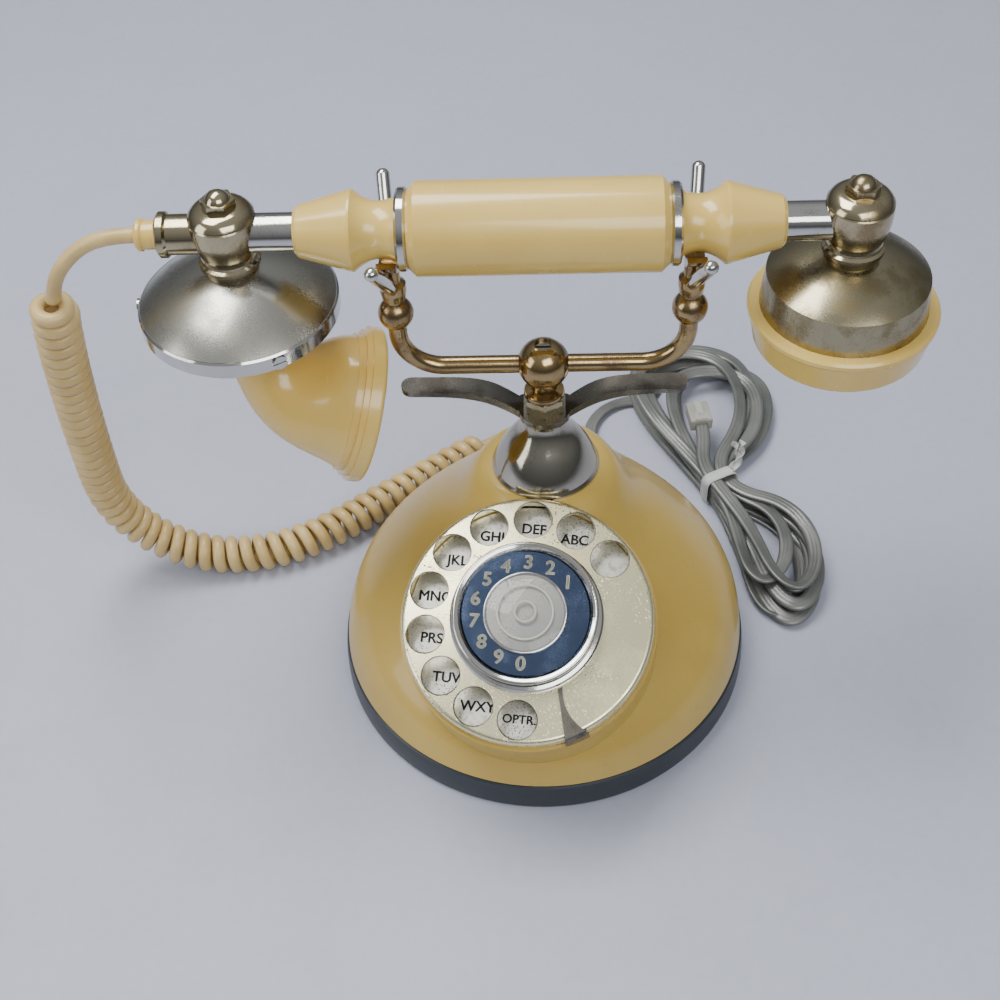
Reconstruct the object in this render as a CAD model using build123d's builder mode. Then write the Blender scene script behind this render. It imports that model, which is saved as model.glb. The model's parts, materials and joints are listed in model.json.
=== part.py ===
from build123d import *
import math
import os

# Cradle telephone with a rotary dial, in millimetres. The origin is on the table under the middle of
# the round base, +Z is up, +X runs along the handset towards the receiver and -Y is the dial side.

os.makedirs("parts", exist_ok=True)

# --- Fits -------------------------------------------------------------------------------------------
running = 0.05  # radial gap of a shaft in its bush
fit = 0.02  # radial gap of a piece pressed or screwed in its seat
seat = 0.3  # gap between pieces that part or slide

# --- Base -------------------------------------------------------------------------------------------
pan_r = 78.3
pan_taper = 0.8
pan_top_r = pan_r - pan_taper
pan_h = 12.9
pan_wall = 3.0
pan_floor = 2.5
felt_margin = 10.3
felt_r = pan_r - felt_margin
felt_t = 1.2
shell_step = 0.6
shell_r = pan_top_r - shell_step
shell_wall = 2.6
shell_top_r = 20.3
shell_h = 69.3
shell_sections = [(5.6, 0.7), (13.8, 3.5), (24.3, 11.4), (34.7, 21.7), (45.1, 33.0), (55.5, 43.3)]
reveal = 0.5
set_back = 19.0
heading = 6.7
screw_r = 2.0
screw_inset = 10.0
screw_ring_r = felt_r - screw_inset
screw_count = 4
rim_z = pan_h + reveal
shell_top_z = rim_z + shell_h

# --- Dial -------------------------------------------------------------------------------------------
dial_forward = 43.1
dial_z = 68.6
dial_tilt = 23.0
wheel_r = 44.3
wheel_t = 1.2
wheel_drop = 5.6
wheel_crown = 0.8
wheel_bore_r = 9.0
wheel_clear = 1.0
hole_ring_r = 35.8
hole_r = 6.9
hole_count = 10
hole_first = 48.9
hole_step = 25.5
plate_depth = 7.0
plate_t = 1.0
collar_edge = 1.3
collar_r = wheel_r + collar_edge
collar_lip = 2.6
collar_h = 30.0
bezel_r = 26.8
bezel_h = 7.6
disc_r = 22.0
disc_t = 0.8
lens_r = 14.2
lens_h = 2.6
stop_angle = 151.7
stop_t = 1.0
shaft_r = 2.5
frame_r = 34.0
frame_t = 1.5
frame_gap = 16.0
pillar_r = 2.2
gear_module = 0.8
gear_teeth = 48
pinion_teeth = 16
gear_t = 2.0
gear_backlash = 0.16
gear_side = 200.0
governor_r = 6.5
governor_h = 5.0

# --- Post -------------------------------------------------------------------------------------------
foot_r = 19.6
foot_h = 2.0
post_h = 26.2
post_neck_r = 7.4
post_wall = 2.2
wing_t = 2.2
wing_disc_r = 9.8
wing_w = 8.2
wing_span = 50.0
wing_rise = 11.6
nut_across = 12.6
nut_h = 6.0
rod_r = 2.5
rod_bore_r = rod_r + running
spring_wire = 1.0
spring_r = 5.2
spring_turns = 6

# --- Cradle -----------------------------------------------------------------------------------------
hook_travel = 4.5
bush_gap = 2.2
flange_r = 6.8
flange_h = 2.4
ball_r = 9.1
ball_rise = 14.2
bar_r = 3.15
bar_half = 48.8
bend_r = 15.0
leg_h = 24.2
knob_r = 6.0
boss_rise = 11.0
boss_r = 4.4
saddle_w = 6.4
saddle_t = 2.6
saddle_angle = 62.0
prong_r = 2.3
prong_len = 33.8
prong_dome = 1.8
prong_tilt = 42.4
prong_splay = 4.0
prong_root = 1.9
prong_apart = 3.2
grip_rise = 34.3

# --- Handset ----------------------------------------------------------------------------------------
handset_play = -0.6
grip_r = 15.1
grip_half = 41.0
grip_chamfer = 2.4
ring_w = 3.6
ring_r = 13.3
waist_end_r = 10.6
waist_r = 9.2
cone_big_r = 13.0
cone_small_r = 8.4
waist_len = 13.8
cone_len = 18.6
tube_r = 6.3
tube_wall = 1.2
hub_half = 99.6
hub_r = 10.6
hub_up = 6.8
hub_down = 7.0
cap_h = 3.9
cap_top_r = 5.6
acorn_across = 9.6
acorn_hex_h = 2.6
acorn_r = 4.1
stud_r = 2.0
neck_h = 6.4
neck_r = 9.0
bell_drop = 12.6
transmitter_r = 32.4
band_r = 33.2
band_h = 6.2
bell_wall = 1.4
receiver_r = 26.4
receiver_bell_drop = 7.8
receiver_skirt_r = 27.5
receiver_skirt_h = 15.4
cup_r = 31.4
cup_low_r = 28.9
cup_top_drop = 33.4
cup_h = 14.8
cup_wall = 1.9
dish_r = 21.0
dish_depth = 5.4
capsule_r = 23.0
capsule_h = 5.0
horn_wall = 2.2
horn_flange_r = 31.6
horn_flange_t = 1.6
horn_sections = [(0, 0, -90, 8.5), (0.3, -14, -86, 9.2), (3.5, -26, -62, 11.0), (10.5, -35, -42, 16.0),
                 (19.5, -39.5, -24, 20.3), (29.3, -42.7, -19.3, 23.8)]
horn_turn = 5.5
mouth_r = 27.7
mouth_t = 9.6
grille_r = 22.6
grille_t = 1.6
grille_hole_r = 1.1
grille_pitch = 4.6
grille_rings = 4
ferrule_len = 10.4
ferrule_r = 6.5
ferrule_lip_r = 7.4
grommet_len = 7.2
grommet_seat = 2.5
grommet_r = 5.2

# --- Cords ------------------------------------------------------------------------------------------
lead_d = 5.3
coil_d = 14.8
line_w = 6.0
line_t = 2.4
gland_r = 3.6
gland_out = 2.5
gland_z = 7.4
coil_gland_x = 15.9
line_gland_x = 26.0
coil_top = (-159.6, 18.6, 169.0)
coil_start = (-159.9, 18.9, 167.3)
lead_run = 12.0
lead_bend = (-151.0, 18.6, 182.0)
coil_points = [(-165.5, 25.5, 133.0), (-172.5, 35.0, 90.0), (-176.0, 40.0, 42.0), (-142.5, 40.5, 7.4),
               (-102.0, 40.0, 7.4), (-62.0, 73.5, 7.4)]
coil_end = (-22.0, 103.0, 7.4)
tail_points = [(-10.7, 111.3, 4.5), (3.2, 109.9, 3.0), (15.9, 95.0, 5.5)]
line_points = [(26.0, 94.0, 4.0), (19.5, 114.0, 1.6), (30.5, 131.5, 1.4)]
line_end = (52.0, 132.0, 1.6)

# --- Hank of line cord ------------------------------------------------------------------------------
tie_at = (75.7, 74.3)
tie_heading = 117.0
tie_w = 9.0
tie_t = 0.6
hank_w = 16.0
hank_h = 10.0
upper_lobe = [(50.0, 128.0), (53.0, 154.0), (74.0, 158.0), (92.0, 151.0), (99.5, 131.0), (93.5, 105.0)]
lower_lobe = [(100.0, 54.0), (107.0, 36.0), (104.0, 18.0), (93.0, 4.5), (86.0, 13.0), (81.5, 42.0)]
plug_at = (69.5, 110.0)
plug_heading = 98.0
plug_w = 9.6
plug_len = 12.3
plug_h = 6.6

# --- Inside the base --------------------------------------------------------------------------------
bracket_out = 14.0
bracket_t = 1.5
switch_w = 10.0
switch_h = 14.0
leaf_w = 4.0
leaf_t = 0.5
leaf_step = 2.6
leaf_count = 3
gong_apart = 39.0
gong_y = 40.0
gong_r = 16.0
gong_t = 1.2
gong_h = 10.0
gong_low_z = 38.0
coil_y = 20.0
ringer_coil_apart = 20.0
ringer_coil_r = 7.5
ringer_coil_h = 18.0
pivot_r = 1.5
clapper_r = 2.0
board_w = 64.0
board_d = 30.0
board_t = 1.6
board_y = -28.0
board_rise = 3.0


def save(part, name):
    """Labels a finished piece and writes its STEP file."""
    part.label = name
    export_step(part, f"parts/{name}.step")


def outline(start, *moves):
    """The edges of a closed outline: a move is a point, an (arc middle, end) pair or a list of spline points."""
    here = start
    with BuildLine() as path:
        for move in moves:
            if isinstance(move, list):
                Spline(here, *move)
                here = move[-1]
            elif isinstance(move[0], tuple):
                ThreePointArc(here, *move)
                here = move[-1]
            else:
                Line(here, move)
                here = move
        if here != start:
            Line(here, start)
    return path.edges()


def pair(first, second):
    """Two pieces of one kind that share a node as separate solids."""
    with BuildPart() as both:
        add(first)
        add(second)
    return both.part


def domed(radius, height, rise):
    """The (arc middle, end) pair of a dome, from its edge at the radius and height to its top on the axis."""
    bend = (radius**2 + rise**2) / (2 * rise)
    middle = math.sqrt(bend**2 - radius**2 / 4) - bend + rise
    return ((radius / 2, height + middle), (0, height + rise))


def upright(plane):
    """The plane through the local z axis of the given one, so that a sketch's x is radius and y is height."""
    return Plane(plane.origin, x_dir=plane.x_dir, z_dir=-plane.y_dir)


def turned(plane, start, *moves):
    """A solid of revolution about the plane's z axis, from a half outline of (radius, height) points."""
    with BuildPart() as body:
        with BuildSketch(upright(plane)):
            make_face(outline(start, *moves))
        revolve(axis=Axis(plane.origin, plane.z_dir))
    return body.part


def tube_plane(x, y, z):
    """A plane across the handset's axis, whose z runs along +X."""
    return Plane((x, y, z), x_dir=(0, 0, 1), z_dir=(1, 0, 0))


turn = math.radians(heading)
tilt = math.radians(dial_tilt)
front = Vector(-math.sin(turn), -math.cos(turn), 0)
post_x = -front.X * set_back
post_y = -front.Y * set_back
dial_normal = Vector(front.X * math.sin(tilt), front.Y * math.sin(tilt), math.cos(tilt))
dial = Plane((front.X * dial_forward, front.Y * dial_forward, dial_z),
             x_dir=(math.cos(turn), -math.sin(turn), 0), z_dir=dial_normal)
post = Plane((post_x, post_y, 0), x_dir=(1, 0, 0), z_dir=(0, 0, 1))


def on_dial(angle, radius):
    """A point of the dial's face, at an angle clockwise from its top."""
    return (radius * math.sin(math.radians(angle)), radius * math.cos(math.radians(angle)))


# ======================================== Base ======================================================
def shell_solid(inset):
    """The bell-shaped body as one solid, drawn in by the inset all round and down by it at the top."""
    heights = [0.0] + [h for h, _ in shell_sections] + [shell_h]
    radii = [shell_r] + [shell_r - draw for _, draw in shell_sections] + [shell_top_r]
    with BuildPart() as body:
        for height, radius in zip(heights, radii):
            back = set_back * height / shell_h
            drop = inset if height == shell_h else 0.0
            centre = (-front.X * back, -front.Y * back, rim_z + height - drop)
            with BuildSketch(Plane(centre)):
                Circle(radius - inset)
        loft()
    return body.part


def collar_solid(radius, top, depth):
    """A round boss square to the dial's face, from a depth below the wheel down into the base."""
    with BuildPart() as boss:
        with BuildSketch(dial.offset(-top)):
            Circle(radius)
        extrude(amount=-depth)
    return boss.part


collar_top = wheel_drop + 1.0
with BuildPart() as base_shell:
    add(shell_solid(0.0))
    add(collar_solid(collar_r, collar_top, collar_h))
    add(shell_solid(shell_wall), mode=Mode.SUBTRACT)
    add(collar_solid(collar_r - collar_lip, collar_top - 1.0, collar_h + 1.0), mode=Mode.SUBTRACT)
    with BuildSketch(Plane.XY.offset(rim_z)):
        Circle(2 * shell_r)
    extrude(amount=-shell_h, mode=Mode.SUBTRACT)
    add(collar_solid(wheel_r + wheel_clear, -3 * wheel_clear, collar_top + 3 * wheel_clear),
        mode=Mode.SUBTRACT)
    with BuildSketch(post.offset(shell_top_z + 1.0)):
        Circle(foot_r - 6.0)
    extrude(amount=-shell_wall - 2.0, mode=Mode.SUBTRACT)
save(base_shell.part, "base_shell")

inside_z = felt_t + pan_floor
screw_head_h = 1.0
screw_len = 14.0
pan_inner_r = pan_top_r - pan_wall


def gland_plane(x):
    """The plane of a cord gland's inner end, square to +Y, just inside the pan's wall at the back."""
    return Plane((x, math.sqrt(pan_inner_r**2 - x**2) - 4.0, gland_z), x_dir=(1, 0, 0), z_dir=(0, 1, 0))


pan_edge_r = pan_top_r - 1.6
with BuildPart() as base_pan:
    add(turned(Plane.XY, (0, felt_t), (felt_r + seat, felt_t), (felt_r + seat, 0), (pan_r - 0.8, 0),
               (pan_r - 0.2, 1.4), (pan_r, 1.9), ((pan_r - 0.1, 0.55 * pan_h), (pan_top_r, pan_h - 0.6)),
               (pan_top_r - 0.6, pan_h), (pan_edge_r, pan_h), (pan_edge_r, rim_z), (pan_inner_r, rim_z),
               (pan_inner_r, felt_t + pan_floor), (0, felt_t + pan_floor)))
    with BuildSketch(Plane.XY):
        with PolarLocations(screw_ring_r, screw_count, start_angle=45):
            Circle(screw_r + fit)
    extrude(amount=felt_t + pan_floor, mode=Mode.SUBTRACT)
    with BuildSketch(Plane.XY.offset(felt_t)):
        with PolarLocations(screw_ring_r, screw_count, start_angle=45):
            Circle(2.2 * screw_r)
            Circle(screw_r + fit, mode=Mode.SUBTRACT)
    extrude(amount=screw_len + pan_floor)
    for gland_x in (coil_gland_x, line_gland_x):
        with BuildSketch(gland_plane(gland_x)):
            Circle(gland_r + fit)
        extrude(amount=pan_r, mode=Mode.SUBTRACT)
save(base_pan.part, "base_pan")

with BuildPart() as base_felt:
    with BuildSketch(Plane.XY):
        Circle(felt_r)
        with PolarLocations(screw_ring_r, screw_count, start_angle=45):
            Circle(2.2 * screw_r, mode=Mode.SUBTRACT)
    extrude(amount=felt_t)
save(base_felt.part, "base_felt")

with BuildPart() as base_screws:
    with BuildSketch(Plane.XY.offset(felt_t)):
        with PolarLocations(screw_ring_r, screw_count, start_angle=45):
            Circle(screw_r)
    extrude(amount=screw_len)
    with BuildSketch(Plane.XY.offset(felt_t - screw_head_h)):
        with PolarLocations(screw_ring_r, screw_count, start_angle=45):
            Circle(2 * screw_r)
            Rectangle(3.2 * screw_r, 0.8, mode=Mode.SUBTRACT)
    extrude(amount=screw_head_h)
save(base_screws.part, "base_screws")

# ======================================== Dial ======================================================
wheel_angles = [hole_first - k * hole_step for k in range(hole_count)]
rim_in_r = wheel_r - wheel_t
crown_r = wheel_r - 2.0
with BuildPart() as finger_wheel:
    add(turned(dial, (wheel_bore_r, wheel_crown - wheel_t), (bezel_r, wheel_crown - wheel_t),
               (crown_r, -wheel_t), (rim_in_r, -wheel_t - 1.0), (rim_in_r, -wheel_drop),
               (wheel_r, -wheel_drop), (wheel_r, -1.5), ((wheel_r - 0.5, -0.5), (wheel_r - 1.6, 0)),
               (crown_r - 0.6, 0.05), (bezel_r, wheel_crown), (wheel_bore_r, wheel_crown)))
    with BuildSketch(dial.offset(-wheel_drop)):
        for angle in wheel_angles:
            with Locations(on_dial(angle, hole_ring_r)):
                Circle(hole_r)
    extrude(amount=2 * wheel_drop, mode=Mode.SUBTRACT)
save(finger_wheel.part, "finger_wheel")

ring_top = wheel_crown + bezel_h
disc_z = ring_top - 1.4
ring_in_r = disc_r + 1.4
save(turned(dial, (disc_r - 1.2, wheel_crown), (bezel_r, wheel_crown), (bezel_r, wheel_crown + 1.0),
            (bezel_r - 0.6, wheel_crown + 1.6), (bezel_r - 1.8, wheel_crown + 1.9),
            (bezel_r - 2.2, ring_top - 2.0), (bezel_r - 1.6, ring_top - 1.4),
            ((bezel_r - 1.4, ring_top - 0.6), (ring_in_r + 0.9, ring_top)), (ring_in_r, ring_top - 0.3),
            (disc_r + fit, disc_z - disc_t), (disc_r - 1.2, disc_z - disc_t)), "dial_bezel")
save(turned(dial, (0, disc_z - disc_t), (disc_r, disc_z - disc_t), (disc_r, disc_z), (0, disc_z)),
     "number_disc")
save(turned(dial, (0, disc_z), (lens_r, disc_z), (lens_r, disc_z + 0.6),
            domed(lens_r, disc_z + 0.6, lens_h - 0.6)), "centre_lens")

shaft_low = -plate_depth - plate_t - frame_gap - 2 * frame_t - 1.5
gear_z = -plate_depth - plate_t - frame_t - 6.0
hub_gear_r = 5.0
save(turned(dial, (0, shaft_low), (shaft_r, shaft_low), (shaft_r, gear_z - gear_t - 0.5),
            (hub_gear_r, gear_z - gear_t - 0.5), (hub_gear_r, gear_z - gear_t),
            (shaft_r, gear_z - gear_t), (shaft_r, -plate_depth + 1.0),
            (wheel_bore_r + 3.0, -plate_depth + 2.0), (wheel_bore_r + 3.0, wheel_crown - wheel_t),
            (wheel_bore_r, wheel_crown - wheel_t), (wheel_bore_r, disc_z - disc_t), (0, disc_z - disc_t)),
     "dial_shaft")

plate_r = collar_r - collar_lip - 0.2
with BuildPart() as letter_plate:
    with BuildSketch(dial.offset(-plate_depth)):
        Circle(plate_r)
        Circle(shaft_r + 1.5, mode=Mode.SUBTRACT)
    extrude(amount=-plate_t)
save(letter_plate.part, "letter_plate")

stop_gap = 0.6
stop_top = wheel_crown + stop_gap + stop_t
leg_in_r = wheel_r + 0.5
leg_out_r = leg_in_r + stop_t
with BuildPart() as finger_stop:
    add(turned(dial, (bezel_r + 1.0, stop_top - stop_t), (leg_in_r - 1.0, stop_top - stop_t - 0.4),
               (leg_in_r, stop_top - stop_t - 1.2), (leg_in_r, -collar_top), (leg_out_r, -collar_top),
               (leg_out_r, stop_top - 1.4), (leg_out_r - 1.2, stop_top - 0.2), (bezel_r + 1.0, stop_top)))
    inner_c = on_dial(stop_angle - 3.0, bezel_r)
    tip_a = on_dial(stop_angle - 3.0 - 2.2, bezel_r)
    tip_b = on_dial(stop_angle - 3.0 + 2.2, bezel_r)
    out_a = on_dial(stop_angle - 6.0, leg_out_r + 1.0)
    out_b = on_dial(stop_angle + 6.0, leg_out_r + 1.0)
    bow = on_dial(stop_angle - 0.8, 0.62 * leg_out_r + 0.38 * bezel_r)
    with BuildSketch(dial.offset(-collar_top)):
        make_face(outline(tip_a, (bow, out_a), out_b, tip_b))
    extrude(amount=collar_top + stop_top, mode=Mode.INTERSECT)
save(finger_stop.part, "finger_stop")

# The movement hangs under the letter plate between two plates.
front_z = -plate_depth - plate_t
back_z = front_z - frame_t - frame_gap
mesh = math.radians(gear_side)
centre_gap = gear_module * (gear_teeth + pinion_teeth) / 2
pinion_at = (centre_gap * math.cos(mesh), centre_gap * math.sin(mesh))
spindle_r = 1.2
with BuildPart() as dial_frame:
    for level in (front_z, back_z):
        with BuildSketch(dial.offset(level)):
            Circle(frame_r)
            Circle(shaft_r + running, mode=Mode.SUBTRACT)
            with Locations(pinion_at):
                Circle(spindle_r + running, mode=Mode.SUBTRACT)
        extrude(amount=-frame_t)
    with BuildSketch(dial.offset(back_z)):
        with PolarLocations(frame_r - pillar_r - 0.8, 3, start_angle=gear_side + 60):
            Circle(pillar_r)
    extrude(amount=frame_gap)
save(dial_frame.part, "dial_frame")


def gear_outline(teeth, phase):
    """Closed points of an involute spur gear, with one tooth centred on the phase angle."""
    pitch = gear_module * teeth / 2
    base = pitch * math.cos(math.radians(20))
    tip = pitch + gear_module
    root = pitch - 1.25 * gear_module
    half = math.pi / (2 * teeth) - gear_backlash / (2 * pitch)
    lead = math.tan(math.radians(20)) - math.radians(20)
    flank = []
    for radius in (max(base, root), (max(base, root) + pitch) / 2, pitch, (pitch + tip) / 2, tip):
        press = math.acos(min(1.0, base / radius))
        flank.append((radius, half + lead - (math.tan(press) - press)))
    points = []
    for k in range(teeth):
        middle = phase + 2 * math.pi * k / teeth
        rise = [(root, -flank[0][1])] + [(radius, -angle) for radius, angle in flank]
        fall = [(radius, angle) for radius, angle in reversed(flank)] + [(root, flank[0][1])]
        for radius, angle in rise + fall:
            spot = (radius * math.cos(middle + angle), radius * math.sin(middle + angle))
            if not points or math.dist(points[-1], spot) > 1e-4:
                points.append(spot)
    return points


def gear(teeth, centre, phase, top, bore):
    """A flat spur gear on the dial's plane, below the given height, with its bore."""
    with BuildPart() as body:
        with BuildSketch(dial.offset(top)):
            with BuildLine():
                Polyline(*[(centre[0] + x, centre[1] + y) for x, y in gear_outline(teeth, phase)], close=True)
            make_face()
            with Locations(centre):
                Circle(bore, mode=Mode.SUBTRACT)
        extrude(amount=-gear_t)
    return body.part


save(gear(gear_teeth, (0, 0), mesh, gear_z, shaft_r), "main_gear")
with BuildPart() as governor:
    add(gear(pinion_teeth, pinion_at, mesh + math.pi + math.pi / pinion_teeth, gear_z, 0.5))
    with BuildSketch(dial.offset(back_z - frame_t - 1.0)):
        with Locations(pinion_at):
            Circle(spindle_r)
    extrude(amount=frame_gap + 2 * frame_t + 0.6)
    with BuildSketch(dial.offset(gear_z - gear_t)):
        with Locations(pinion_at):
            Circle(governor_r)
            Rectangle(2 * governor_r, 1.0, mode=Mode.SUBTRACT)
            Circle(2.5)
    extrude(amount=-governor_h)
save(governor.part, "governor_rotor")

# ======================================== Post ======================================================
post_top_z = shell_top_z + post_h
wing_z = post_top_z
nut_z = wing_z + wing_t
nut_top_z = nut_z + nut_h
sleeve_r = rod_r + 2.2
with BuildPart() as pedestal:
    add(turned(post, (foot_r, shell_top_z), (foot_r, shell_top_z + foot_h * 0.4),
               (foot_r - 0.7, shell_top_z + foot_h), [(foot_r - 3.2, shell_top_z + 0.30 * post_h),
                                                      (foot_r - 6.4, shell_top_z + 0.50 * post_h),
                                                      (foot_r - 10.0, shell_top_z + 0.68 * post_h),
                                                      (post_neck_r, shell_top_z + 0.86 * post_h)],
               (post_neck_r, post_top_z), (sleeve_r + fit, post_top_z),
               (sleeve_r + fit, shell_top_z + 0.80 * post_h),
               [(foot_r - 10.0 - post_wall, shell_top_z + 0.60 * post_h),
                (foot_r - 6.4 - post_wall, shell_top_z + 0.40 * post_h),
                (foot_r - post_wall - 2.0, shell_top_z)]))
save(pedestal.part, "pedestal")

bush_low_z = post_top_z - 7.0
save(turned(post, (rod_bore_r, bush_low_z), (sleeve_r, bush_low_z), (sleeve_r, nut_top_z),
            (rod_bore_r, nut_top_z)), "post_bush")

with BuildPart() as wing_plate:
    half = wing_span
    with BuildSketch(Plane((post_x, post_y, wing_z), x_dir=(1, 0, 0), z_dir=(0, -1, 0))):
        low = outline((0, 0), (wing_disc_r - 1.6, 0), [(0.26 * half, 0.33 * wing_rise),
                                                       (0.42 * half, 0.72 * wing_rise),
                                                       (0.66 * half, 0.95 * wing_rise),
                                                       (half, wing_rise)], (half, wing_rise + wing_t),
                      [(0.64 * half, 0.95 * wing_rise + wing_t), (0.37 * half, 0.72 * wing_rise + wing_t),
                       (0.235 * half, 0.33 * wing_rise + wing_t), (wing_disc_r - 2.4, wing_t)],
                      (0, wing_t))
        make_face(low)
    extrude(amount=wing_disc_r, both=True)
    mirror(about=Plane((post_x, post_y, 0), x_dir=(0, 1, 0), z_dir=(1, 0, 0)))
    with BuildSketch(post.offset(wing_z - 1.0)):
        SlotOverall(2 * wing_span, wing_w)
        Circle(wing_disc_r)
        Circle(sleeve_r + fit, mode=Mode.SUBTRACT)
    extrude(amount=wing_rise + wing_t + 2.0, mode=Mode.INTERSECT)
save(wing_plate.part, "wing_plate")

nut_corner_r = nut_across / 2 / math.cos(math.pi / 6)
with BuildPart() as hex_nut:
    with BuildSketch(post.offset(nut_z)):
        RegularPolygon(nut_across / 2, 6, major_radius=False, rotation=30)
        Circle(sleeve_r + fit, mode=Mode.SUBTRACT)
    extrude(amount=nut_h)
    with BuildSketch(upright(post)):
        make_face(outline((0, nut_z), (nut_corner_r - 0.6, nut_z), (nut_corner_r + 0.1, nut_z + 0.6),
                          (nut_corner_r + 0.1, nut_top_z - 0.6), (nut_corner_r - 0.8, nut_top_z),
                          (0, nut_top_z)))
    revolve(axis=Axis(post.origin, (0, 0, 1)), mode=Mode.INTERSECT)
save(hex_nut.part, "hex_nut")

# The spring stands on a seat under the shell's top and lifts a collar of the plunger rod.
seat_z = shell_top_z - shell_wall - 6.0
seat_t = 1.6
spring_low_z = seat_z + seat_t
collar_t = 1.0
spring_top_z = bush_low_z - bush_gap - hook_travel - collar_t
with BuildPart() as spring_seat:
    add(turned(post, (rod_r + 0.6, seat_z), (foot_r - 4.0, seat_z), (foot_r - 4.0, seat_z + 6.0),
               (foot_r - 5.6, seat_z + 6.0), (foot_r - 5.6, spring_low_z), (rod_r + 0.6, spring_low_z)))
save(spring_seat.part, "spring_seat")

spring_pitch = (spring_top_z - spring_low_z - 2 * spring_wire - 0.2) / spring_turns
with BuildPart() as return_spring:
    with BuildLine():
        Helix(spring_pitch, spring_pitch * spring_turns, spring_r,
              center=(post_x, post_y, spring_low_z + spring_wire / 2 + 0.1))
    with BuildSketch(Plane((post_x + spring_r, post_y, spring_low_z + spring_wire / 2 + 0.1),
                           x_dir=(1, 0, 0), z_dir=(0, -1, 0))):
        Circle(spring_wire / 2)
    sweep(is_frenet=True)
save(return_spring.part, "return_spring")

flange_z = nut_top_z + 0.4
ball_z = flange_z + ball_rise
rod_low_z = seat_z - 12.0
rod_collar_r = spring_r + spring_wire
with BuildPart() as plunger_rod:
    add(turned(post, (0, rod_low_z), (rod_r - 0.5, rod_low_z), (rod_r, rod_low_z + 0.5),
               (rod_r, spring_top_z - spring_wire / 2), (rod_collar_r, spring_top_z - spring_wire / 2),
               (rod_collar_r, spring_top_z + collar_t), (rod_r, spring_top_z + collar_t),
               (rod_r, flange_z), (0, flange_z)))
save(plunger_rod.part, "plunger_rod")

# ======================================== Cradle ====================================================
ball_neck_r = 0.55 * ball_r
ball_screw_r = 3.0
ball_screw_z = ball_z + bar_r + 1.2
ball_slot_z = ball_z + 0.72 * ball_r
with BuildPart() as cradle_ball:
    add(turned(post, (0, flange_z), (flange_r, flange_z), ((flange_r + 0.4, flange_z + flange_h / 2),
                                                           (flange_r, flange_z + flange_h)),
               (flange_r - 2.2, flange_z + flange_h + 0.9), (ball_neck_r, ball_z - 0.7 * ball_r),
               (0, ball_z - 0.7 * ball_r)))
    with Locations((post_x, post_y, ball_z)):
        Sphere(ball_r)
    with BuildSketch(post.offset(ball_screw_z)):
        Circle(ball_screw_r)
    extrude(amount=ball_r, mode=Mode.SUBTRACT)
    with BuildSketch(tube_plane(post_x - ball_r, post_y, ball_z)):
        Circle(bar_r)
    extrude(amount=2 * ball_r, mode=Mode.SUBTRACT)
save(cradle_ball.part, "cradle_ball")

with BuildPart() as ball_screw:
    with BuildSketch(post.offset(ball_screw_z)):
        Circle(ball_screw_r - fit)
    extrude(amount=ball_slot_z + 1.0 - ball_screw_z)
    with BuildSketch(post.offset(ball_slot_z)):
        Rectangle(2.4 * ball_screw_r, 0.9)
    extrude(amount=ball_r, mode=Mode.SUBTRACT)
save(ball_screw.part, "ball_screw")

knob_z = ball_z + leg_h
knob_flat = math.sqrt(knob_r**2 - bar_r**2)
with BuildPart() as cradle_bar:
    with BuildLine(Plane((post_x, post_y, ball_z), x_dir=(1, 0, 0), z_dir=(0, -1, 0))) as bar_path:
        FilletPolyline((-bar_half, leg_h - knob_flat), (-bar_half, 0), (bar_half, 0),
                       (bar_half, leg_h - knob_flat), radius=bend_r)
    with BuildSketch(Plane((post_x - bar_half, post_y, knob_z - knob_flat), x_dir=(1, 0, 0),
                           z_dir=(0, 0, -1))):
        Circle(bar_r)
    sweep()
save(cradle_bar.part, "cradle_bar")

boss_z = knob_z + boss_rise
axis_z = knob_z + grip_rise
saddle_in_r = waist_end_r + 0.9
saddle_up = saddle_in_r - waist_end_r - seat


def knob(side):
    """One ball end of the cradle with its collar and the saddle that carries the handset."""
    stand = Plane((post_x + side * bar_half, post_y, 0), x_dir=(1, 0, 0), z_dir=(0, 0, 1))
    low = (saddle_in_r + saddle_t) * math.cos(math.radians(saddle_angle))
    with BuildPart() as body:
        add(turned(stand, (0, knob_z - knob_flat), (bar_r, knob_z - knob_flat),
                   ((knob_r, knob_z), (0.5 * knob_r, knob_z + 0.866 * knob_r)),
                   (0.5 * knob_r, knob_z + 0.866 * knob_r + 1.0),
                   (boss_r - 0.4, knob_z + 0.866 * knob_r + 1.6), (boss_r, boss_z - 1.4),
                   (boss_r, boss_z + 1.4), (boss_r - 1.6, boss_z + 3.0),
                   (boss_r - 1.6, axis_z - saddle_in_r - 1.0), (0, axis_z - saddle_in_r - 1.0)))
        with BuildSketch(tube_plane(post_x + side * bar_half - saddle_w / 2, post_y, axis_z + saddle_up)):
            Circle(saddle_in_r + saddle_t)
            with Locations((-low + 3 * saddle_in_r, 0)):
                Rectangle(6 * saddle_in_r, 6 * saddle_in_r, mode=Mode.SUBTRACT)
        extrude(amount=saddle_w)
        with BuildSketch(tube_plane(post_x + side * bar_half - saddle_w, post_y, axis_z + saddle_up)):
            Circle(saddle_in_r)
        extrude(amount=2 * saddle_w, mode=Mode.SUBTRACT)
        for lean in (-1, 1):
            with BuildSketch(prong_plane(side, lean)):
                Circle(prong_r)
            extrude(amount=prong_len, mode=Mode.SUBTRACT)
    return body.part


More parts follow.
